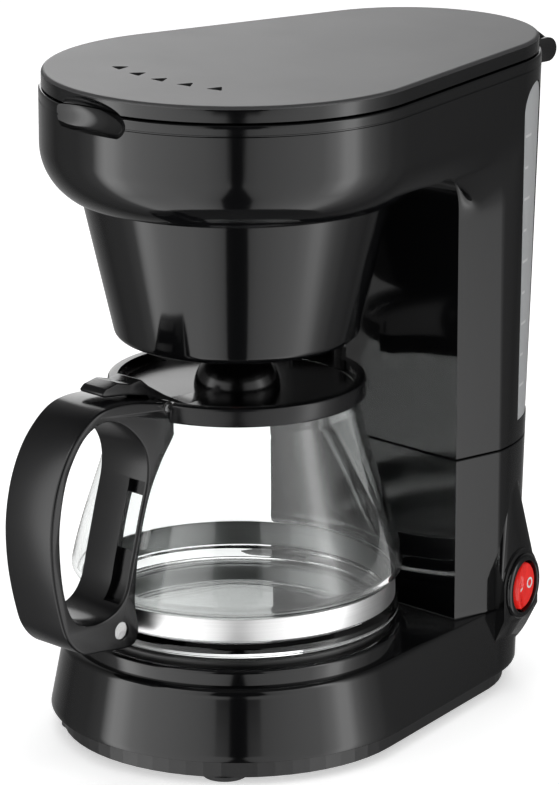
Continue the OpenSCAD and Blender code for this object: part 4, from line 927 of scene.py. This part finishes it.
def warming_plate():
    """Plate with a turned rim: a flat top with one shallow step, and a rounded edge."""
    t, r, rim, step_r, step_z = 1.4, PLATE_R, 38.0, 50, PLATE_Z - 0.3
    p = [(0, PLATE_Z - t), (r - t, PLATE_Z - t), (r - t, rim), (r, rim), (r, PLATE_Z),
         (step_r, PLATE_Z), (49.4, step_z), (0, step_z)]
    return raw("plate_shell", turned(rounded(p, [0, 0, 0, 0, 1.5, 0.6, 0.6, 0]), 200))


# ---- Switch ----

def switch_bezel():
    """Barrel with a rounded bezel, and the round well the rocker sits in."""
    well, floor, barrel, foot = 9.9, -6.4, 11.84, -20
    p = [(well, 0), (well, floor), (0, floor), (0, foot), (barrel, foot), (barrel, -BEZEL_T),
         (BEZEL_R, -BEZEL_T), (BEZEL_R, 0)]
    shape = turned(rounded(p[::-1], [1.4, 0.2, 0, 0.4, 0, 0, 0.3, 0.6], 8), 120)
    return raw("bezel_shell", at_switch(shape))


def on_rocker(name, shape):
    """Object of a shape made on the rocker's own axes."""
    c, s = math.cos(ROCK), math.sin(ROCK)
    tilt = [[1, 0, 0], [0, c, s], [0, -s, c]]
    return raw(name, at_switch(moved(shape, tilt, (0, 0, ROCKER_OUT))))


def switch_rocker():
    """Round rocker: a disc whose face is two slopes that meet in a shallow valley."""
    r, h, dip = ROCKER_R, ROCKER_H, ROCKER_DIP
    d = np.r_[0, np.linspace(0.6, r - 0.7, 22), r - 0.35, r - 0.1, r]
    fall = np.r_[0, np.zeros(22), 0.12, 0.35, 0.8]
    t = circle(96)
    p = polar(d[:, None], t)
    z = h - dip * (1 - np.sqrt((p[..., 1] / r) ** 2 + 0.004)) - fall[:, None]
    face = np.concatenate([p, z[..., None]], -1)
    foot = at_heights(polar(r, t)[None], -h)
    shape = skin(np.concatenate([foot * (0, 0, 1), foot, face[::-1]]), ends=False)
    return on_rocker("rocker_shell", shape)


def rocker_marks():
    """The on bar and the off ring, raised a hair on the rocker's two slopes."""
    t, w, h, r0, r1 = 0.1, 0.45, 1.9, 1.35, 2.15
    bar = extruded(rounded([(-w, -h), (w, -h), (w, h), (-w, h)], 0.3, 3), -t, t)
    ring = turned(rounded([(r0, -t), (r1, -t), (r1, t), (r0, t)], 0.05, 2), 40)
    out = []
    for side, (v, f) in ((-1, bar), (1, ring)):
        y0 = side * 4.7
        lift = ROCKER_H - ROCKER_DIP * (1 - abs(y0) / ROCKER_R) + 0.03
        slope = side * ROCKER_DIP / ROCKER_R
        v = np.stack([v[:, 0], v[:, 1] + y0, v[:, 2] + lift + slope * v[:, 1]], 1)
        out.append((v, f))
    return on_rocker("rocker_marks", joined(*out))


# ---- Jug ----

def belly(u):
    """Glass radius from the belly, u = 0, to the neck, u = 1: a straight taper mixed with
    a half cosine."""
    return NECK_R + (GLASS_R - NECK_R) * (0.7 * (1 - u) + 0.15 * (1 + np.cos(np.pi * u)))


def glass_side(d):
    """Glass side from the waist up, drawn in by d, with soft shoulders at the waist."""
    u = np.linspace(0, 1, 42)
    waist = WAIST_R - d
    low = [(waist, BAND_Z - 1.0), (waist, BAND_Z + BAND_H + 0.6), (GLASS_R - d, BELLY_Z),
           (belly(0.1) - d, BELLY_Z + 0.1 * (NECK_Z - BELLY_Z))]
    low = rounded(low, [0, 1.0, 3.0, 0], 6)[1:-1]
    side = np.stack([belly(u) - d, BELLY_Z + (NECK_Z - BELLY_Z) * u], 1)[5:]
    return np.r_[[(waist, BAND_Z - 0.6)], low, side, [(NECK_R - d, GLASS_TOP - 0.8)]]


def carafe_glass():
    """Blown jug: foot, waist under the band, belly and neck outside, then the same line a
    wall in, down to a raised floor."""
    foot = [(0, JUG_Z), (FOOT_R, JUG_Z), (FOOT_R, BAND_Z - 2.4), (WAIST_R, BAND_Z - 0.6)]
    foot = rounded(foot, [0, 3.0, 1.2, 0], 7)[:-1]
    neck = NECK_R - GLASS_T
    rim = rounded([(NECK_R, GLASS_TOP - 3), (NECK_R, GLASS_TOP), (neck, GLASS_TOP),
                   (neck, GLASS_TOP - 3)], [0, 1.05, 1.05, 0], 5)[1:-1]
    inner = glass_side(GLASS_T)[::-1][1:]
    waist, floor_z = WAIST_R - GLASS_T, JUG_Z + 3
    floor = rounded([(waist, BAND_Z), (waist, floor_z), (0, floor_z)], [0, 4.0, 0], 7)[1:]
    return raw("glass_shell", turned(np.r_[foot, glass_side(0), rim, inner, floor], 240))


def carafe_band():
    """Steel band with rolled edges, and the two ears that its screw draws together."""
    t, r, top = BAND_T, WAIST_R, BAND_Z + BAND_H
    p = rounded([(r, BAND_Z), (r + t, BAND_Z), (r + t, top), (r, top)], [0, 0.28, 0.28, 0], 4)
    obj = raw("band_shell", turned(p, 240))
    carved(obj, block((-GAP, -r - 2, BAND_Z - 1), (GAP, -r + 2, top + 1)))
    ear_plate = block((GAP, -r - BAND_EAR, BAND_Z), (0.9, -r - 0.02, top))
    return fused(obj, mirrored(ear_plate))


def loop(points, n=14):
    """Smooth closed outline through points: between two neighbours the cubic whose slope
    at each is half the step from the point before it to the one after."""
    p = np.asarray(points, float)
    a, b, c, d = np.roll(p, 1, 0), p, np.roll(p, -1, 0), np.roll(p, -2, 0)
    t = np.arange(n)[:, None, None] / n
    q = b + t * (c - a) / 2 + t ** 2 * (a - 2.5 * b + 2 * c - d / 2) \
        + t ** 3 * (1.5 * b - 1.5 * c + (d - a) / 2)
    return q.transpose(1, 0, 2).reshape(-1, 2)


def from_face(a, b):
    """(y, z) from the handle's front face and the jug's foot."""
    return a - HANDLE_REACH, JUG_Z + b


def from_collar(a, b):
    """(y, z) from the collar and the glass's top."""
    return -COLLAR_R - a, GLASS_TOP + b


def from_waist(a, b):
    """(y, z) from the jug's waist and its foot."""
    return -WAIST_R - a, JUG_Z + b


def line_of(*runs):
    """Points of several runs, each a way of placing points and the pairs that it places."""
    return loop([place(a, b) for place, pairs in runs for a, b in pairs])


GRIP = line_of(
    (from_collar, [(-4, 2.7), (10.4, 7.2), (24.4, 8.6)]),
    (from_face, [(22, 93.8), (13.5, 87.7), (7, 79.2), (2.3, 67.7), (0, 53.7), (0.7, 38.2),
                 (3.8, 23.2), (7.5, 13.4), (14.5, 6.8), (24, 5.2)]),
    (from_waist, [(8, 4.2), (4, 9.2), (5.5, 22.2), (2.9, 41.6)]),
    (from_collar, [(8.4, -28.3), (2.4, -16.8), (-4.6, -6.3)]))
FINGER = line_of(
    (from_collar, [(19.1, -0.6), (28.4, 3.5)]),
    (from_face, [(20, 88.8), (13.7, 83.2), (7.7, 72.2), (4.4, 56.2), (4.7, 40.2), (7, 27.7),
                 (11.7, 19.5), (20.7, 16.8)]),
    (from_waist, [(15.5, 19), (9.8, 25.2), (7, 35.2)]),
    (from_collar, [(13.2, -35.8), (9.4, -20.8), (11, -9.8)]))


def both_sides(x, d):
    """Stations on one side of the middle and their mirror images, lowest first."""
    return np.r_[-np.asarray(x)[::-1], x], np.r_[np.asarray(d)[::-1], d]


def glass_tool(grow):
    """The jug's outside, grown, as one solid."""
    foot = FOOT_R + grow
    p = np.r_[[(0, JUG_Z), (FOOT_R - 3 + grow, JUG_Z), (foot, JUG_Z + 2), (foot, BAND_Z - 2.5)],
              glass_side(-grow), [(NECK_R + grow, GLASS_TOP), (0, GLASS_TOP)]]
    return turned(p, 220)


def spout(t):
    """The collar's spout, or with t its hollow, t in from it."""
    y1 = COLLAR_R + 7 - t
    z0, z1 = (GLASS_TOP, COLLAR_TOP + 2) if t else (COLLAR_Z, COLLAR_TOP)
    root, y0, tip = 15 - t, NECK_R - 4, 3 - t / 2
    o = rounded([(-root, y0), (root, y0), (tip, y1), (-tip, y1)],
                [0, 0, 2.5 - t / 2, 2.5 - t / 2], 6)
    return extruded(o, z0, z1)


def grip_recess():
    """Recess in the finger hole's inner side: the hole's own line, 2.6 mm in."""
    z0, z1, out = 64.8, 107.8, -76
    line = FINGER[(FINGER[:, 0] > -72) & (FINGER[:, 1] > 65) & (FINGER[:, 1] < 107.6)]
    line = line[np.argsort(line[:, 1])] + (2.6, 0)
    side = np.r_[[(out, z0), (line[0, 0], z0)], line, [(line[-1, 0], z1), (out, z1)]]
    return moved(across(side, 8.0), by=(7.0, 0, 0))


def carafe_handle():
    """Broad strap in a loop with rounded edges, the finger hole, collar and spout."""
    w, tab, notch, edge, hole_edge = HANDLE_W / 2, TAB_W / 2, TAB_W / 2 + GAP, 1.1, 0.7
    waist, band_top = -WAIST_R, BAND_Z + BAND_H
    t = quarter(6)
    x, d = both_sides(w - edge + edge * np.sin(t), edge * (1 - np.cos(t)))
    obj = raw("handle_shell", beaded(GRIP, x, d))
    x, d = both_sides(np.r_[w - hole_edge + hole_edge * np.sin(t), w + 1],
                      np.r_[-hole_edge * (1 - np.cos(t)), -hole_edge])
    fused(obj, block((-tab, waist - 8, BAND_Z), (tab, waist, band_top)))
    carved(obj, beaded(FINGER, x, d), grip_recess(), glass_tool(GAP),
           disc(NECK_R + 1, NECK_Z, ABOVE),
           disc(WAIST_R + BAND_T, BAND_Z - GAP, band_top + GAP))
    collar = [(NECK_R - 1, COLLAR_Z), (COLLAR_R, COLLAR_Z), (COLLAR_R, COLLAR_TOP),
              (NECK_R - 1, COLLAR_TOP)]
    ring = turned(rounded(collar, [0, 0.8, 1.0, 0], 5), 220)
    eyes = mirrored(joined(
        block((notch, PIN_Y - EYE_R, COLLAR_TOP - 1), (w + 0.1, PIN_Y + EYE_R, PIN_Z)),
        along_x(EYE_R, PIN_Y, PIN_Z, notch, w + 0.15, edge=0.4)))
    fused(obj, ring, spout(0), eyes)
    carved(obj, disc(NECK_R, COLLAR_Z - 1, GLASS_TOP),
           disc(NECK_R - GLASS_T, GLASS_TOP - 1, ABOVE),
           spout(1.6),
           block((-notch, PIN_Y - 5.2, GLASS_TOP), (notch, -NECK_R + 2 * GLASS_T, ABOVE)),
           block((-0.9, waist - BAND_EAR, BAND_Z), (0.9, waist, band_top)),
           along_x(1.5, PIN_Y, PIN_Z, -w - 1, w + 1),
           mirrored(along_x(3.5, waist - 12.5, BAND_Z + BAND_H / 2, w - 2.4, w + 2)))
    return obj


def carafe_lid():
    """Jug lid: a flat disc with a half-ellipse dome, and a thumb tab on its hinge."""
    z0, z1, top, dome, wall = 128.5, 130.5, 144.8, 16.0, 1.6
    r = NECK_R - GLASS_T - GAP
    t = quarter(24)
    arc_out = polar(1, t) * (dome, top - z1) + (0, z1)
    arc_in = polar(1, t) * (dome - wall, top - z1 - wall) + (0, z1)
    obj = raw("jug_lid_shell", turned(np.r_[[(0, z0), (r, z0), (r, z1)], arc_out], 160))
    tab = np.array([(5, 2.6), (-3, 7.5), (-7, 10.8), (-12, 10), (-18, 11.6), (-24, 10.4),
                    (-26.5, 8.4), (-24.5, 7.4), (-13, 6), (-4, 3.9), (-2, 1), (2, 0)])
    side = np.r_[[(-r + 6, z0), (-r + 12, z0), (-r + 12, z1)], tab + (PIN_Y, PIN_Z),
                 [(PIN_Y + 3, z1 + 0.6), (-r + 1, z1 + 0.6)]]
    side = rounded(side, [0, 0, 0, 3, 3, 1.5, 3, 3, 2, 0.8, 0.8, 3, 1, 0, 0, 0, 0], 5)
    fused(obj, across(side, TAB_W, 0.5),
          along_x(EYE_R, PIN_Y, PIN_Z, -TAB_W / 2, TAB_W / 2, edge=0.4))
    inside = np.r_[[(0, z0 - 1), (dome - wall, z0 - 1)], arc_in]
    return carved(obj, turned(inside, 160))


# ---- Put together ----

# What makes each piece, its body and finish, the nodes that it stands for and its slot
DRESSED = [
    (upper_housing, "machine", GLOSS, ["upper_housing"], "gloss_black"),
    (level_window, "machine", WINDOW, ["level_window"], "window"),
    (top_lid, "lid", LID_PLASTIC, ["top_lid"], "satin_black"),
    (brew_funnel, "machine", GLOSS, ["brew_funnel"], "gloss_black"),
    (lower_housing, "machine", GLOSS, ["lower_housing"], "gloss_black"),
    (plate_ring, "machine", GLOSS, ["plate_ring"], "satin_black"),
    (warming_plate, "machine", ENAMEL, ["warming_plate"], "plate_enamel"),
    (switch_bezel, "machine", GLOSS, ["switch_bezel"], "gloss_black"),
    (switch_rocker, "rocker", RED, ["switch_rocker"], "rocker_red"),
    (rocker_marks, "rocker", MARK_WHITE),
    (carafe_glass, "jug", GLASS, ["carafe_glass"], "jug_glass"),
    (carafe_band, "jug", BAND_STEEL, ["carafe_band"], "steel"),
    (carafe_handle, "jug", HANDLE_BLACK, ["carafe_handle"], "satin_black"),
    (carafe_lid, "jug_lid", HANDLE_BLACK, ["carafe_lid"], "satin_black"),
]
for make, *how in DRESSED:
    finish_piece(make(), *how)

PLAIN = {
    STEEL: "lid_hinge_pins valve_spring check_ball hose_clamps heater_strap thermostat "
           "ring_screws cover_screws band_screw carafe_lid_pin",
    CUP_PLASTIC: "filter_basket spray_head", MESH: "permanent_filter", VALVE_RED: "drip_valve",
    PIPE: "riser_tube check_valve_body", SEAL: "tank_seals plate_gasket", CAST: "heater",
    SILICONE: "inlet_hose outlet_hose", FUSE: "thermal_fuse", BRASS: "switch_terminals",
    SATIN: "bottom_cover cord_gland", FOOT: "rubber_feet",
}
for stuff, nodes in PLAIN.items():
    for node in nodes.split():
        dress(NODES[node].data, stuff)

# ---- Floor, light and camera ----

CAMERA_AT = np.array([1.13679, -1.13812, 0.57914])
TARGET = np.array([0.0110, -0.0123, 0.1276])
FOCUS, FRAME_HIGH = 4500.0, 785.0  # focal length and height of the frame, in pixels

# Brightness of the light tent by turn from the camera's side, in degrees to its right,
# with the dark gap that the camera looks through taken as narrow
TENT = [(-180, 0.4), (-152, 0.3), (-126, 0.12), (-101, 0.3), (-88, 0.6), (-83, 2.6), (-79, 3.7),
        (-73, 3.6), (-65, 2.5), (-54, 2.05), (-35, 1.7), (-16, 1.4), (-8, 1.15), (-3.5, 0.9),
        (-2, 0.04), (0, 0.02), (2, 0.04), (3.5, 0.85), (11, 1.1), (30, 1.35), (49, 1.6),
        (58, 2.4), (64, 3.6), (70, 3.5), (76, 1.7), (82, 1.0), (88, 0.65), (100, 0.3),
        (120, 0.12), (150, 0.12), (180, 0.4)]
# Half of that gap in degrees, and the side strips' share, by height in metres
GAP_BY_HEIGHT = [(-2.4, 12), (-0.96, 10), (-0.14, 2.5), (0.0, 5), (0.15, 17), (1.6, 17)]
STRIPS_BY_HEIGHT = [(-2.4, 0.1), (-0.9, 0.15), (-0.3, 1.0), (1.6, 1.0)]


def light_tent(far=1.3, peak=4.0):
    """Round tent seen only in reflections: the glow on its points is read from the tables
    by turn and height, with the gap's edges moved out by height."""
    turn = np.linspace(-180, 180, 1081)[:-1]
    high = np.linspace(-2.4, 1.6, 41)
    at, glow = np.array(TENT).T
    rows = []
    for z in high:
        gap = np.interp(z, *np.array(GAP_BY_HEIGHT).T) - 2.5
        strip = np.interp(z, *np.array(STRIPS_BY_HEIGHT).T)
        moved_at = at + np.sign(at) * gap * np.clip((40 - np.abs(at)) / 30, 0, 1)
        level = np.where(glow > 1.7, 1.7 + (glow - 1.7) * strip, glow)
        rows.append(np.interp(turn, moved_at, level))
    glow = np.array(rows) / peak
    p = np.stack([polar(far, np.radians(turn - 45))] * len(high))
    mesh = mesh_of("tent", *skin(at_heights(p, high), ends=False))
    mesh.attributes.new("glow", "FLOAT", "POINT").data.foreach_set("value", glow.ravel())
    f = Finish("tent_light", Base_Color=grey(0), Specular_IOR_Level=0.0, Emission_Strength=peak)
    f.feed(Emission_Color=f.node("ShaderNodeAttribute", {"attribute_name": "glow"}, out=2))
    f.material.cycles.emission_sampling = "NONE"
    mesh.materials.append(f.material)
    tent = placed("tent", mesh)
    tent.visible_camera = tent.visible_diffuse = tent.visible_shadow = False


def light_card(name="back_soft", wide=3.4, low=0.1, high=1.05, far=1.25, strength=4.4):
    """Soft box behind the machine, seen only in reflections, brighter towards its left."""
    f = Finish(name, Base_Color=grey(0), Emission_Strength=strength)
    x, y, _ = f.axes()
    left = (x + y) * -0.7071
    f.feed(Emission_Color=f.mix((left * 0.65 + 0.345).clamped(), grey(0.0), grey(1.0)))
    f.material.cycles.emission_sampling = "NONE"
    a = math.radians(135)
    aim = np.array([math.cos(a), math.sin(a), 0])
    side = np.array([-math.sin(a), math.cos(a), 0])
    corners = ((-1, low), (1, low), (1, high), (-1, high))
    p = [aim * far + side * s * wide / 2 + (0, 0, z) for s, z in corners]
    card = placed(name, mesh_of(name, p, [(0, 1, 2, 3)]))
    dress(card.data, f.material)
    card.visible_camera = card.visible_diffuse = card.visible_shadow = False


def pale_floor(far=9):
    """Round floor just under the feet."""
    f = Finish("floor_white", Base_Color=grey(0.88), Roughness=0.9, Emission_Color=grey(1.0),
               Emission_Strength=0.55)
    p = at_heights(polar(far, circle(96))[None], -0.0002)[0]
    floor = placed("floor", mesh_of("floor", p, [list(range(96))]))
    dress(floor.data, f.material)
    floor.visible_glossy = False


def look(obj, at, aim):
    """Sets an object at a point, its -Z towards another."""
    obj.location = at
    way = Vector(aim) - Vector(at)
    obj.rotation_euler = way.to_track_quat("-Z", "Y").to_euler()


def soft_light():
    """Large soft light over the machine."""
    lamp = bpy.data.lights.new("top_soft", "AREA")
    lamp.shape, lamp.energy = "RECTANGLE", 60
    lamp.size = lamp.size_y = 3.0
    obj = placed("top_soft", lamp)
    look(obj, (0.0, 0.0, 2.4), (0, 0, 0))
    obj.visible_camera = obj.visible_glossy = False


pale_floor()
soft_light()
light_tent()
light_card()

world = bpy.data.worlds.new("soft_world")
bpy.context.scene.world = world
world.use_nodes = True
sky = world.node_tree.nodes["Background"].inputs
sky["Color"].default_value, sky["Strength"].default_value = grey(1.0), 0.12

eye = bpy.data.cameras.new("camera")
eye.sensor_width = 36.0
eye.lens = eye.sensor_width * FOCUS / FRAME_HIGH
eye.clip_start, eye.clip_end = 0.05, 50.0
camera = placed("camera", eye)
look(camera, CAMERA_AT, TARGET)
bpy.context.scene.camera = camera
bpy.context.scene.view_settings.view_transform = "Standard"
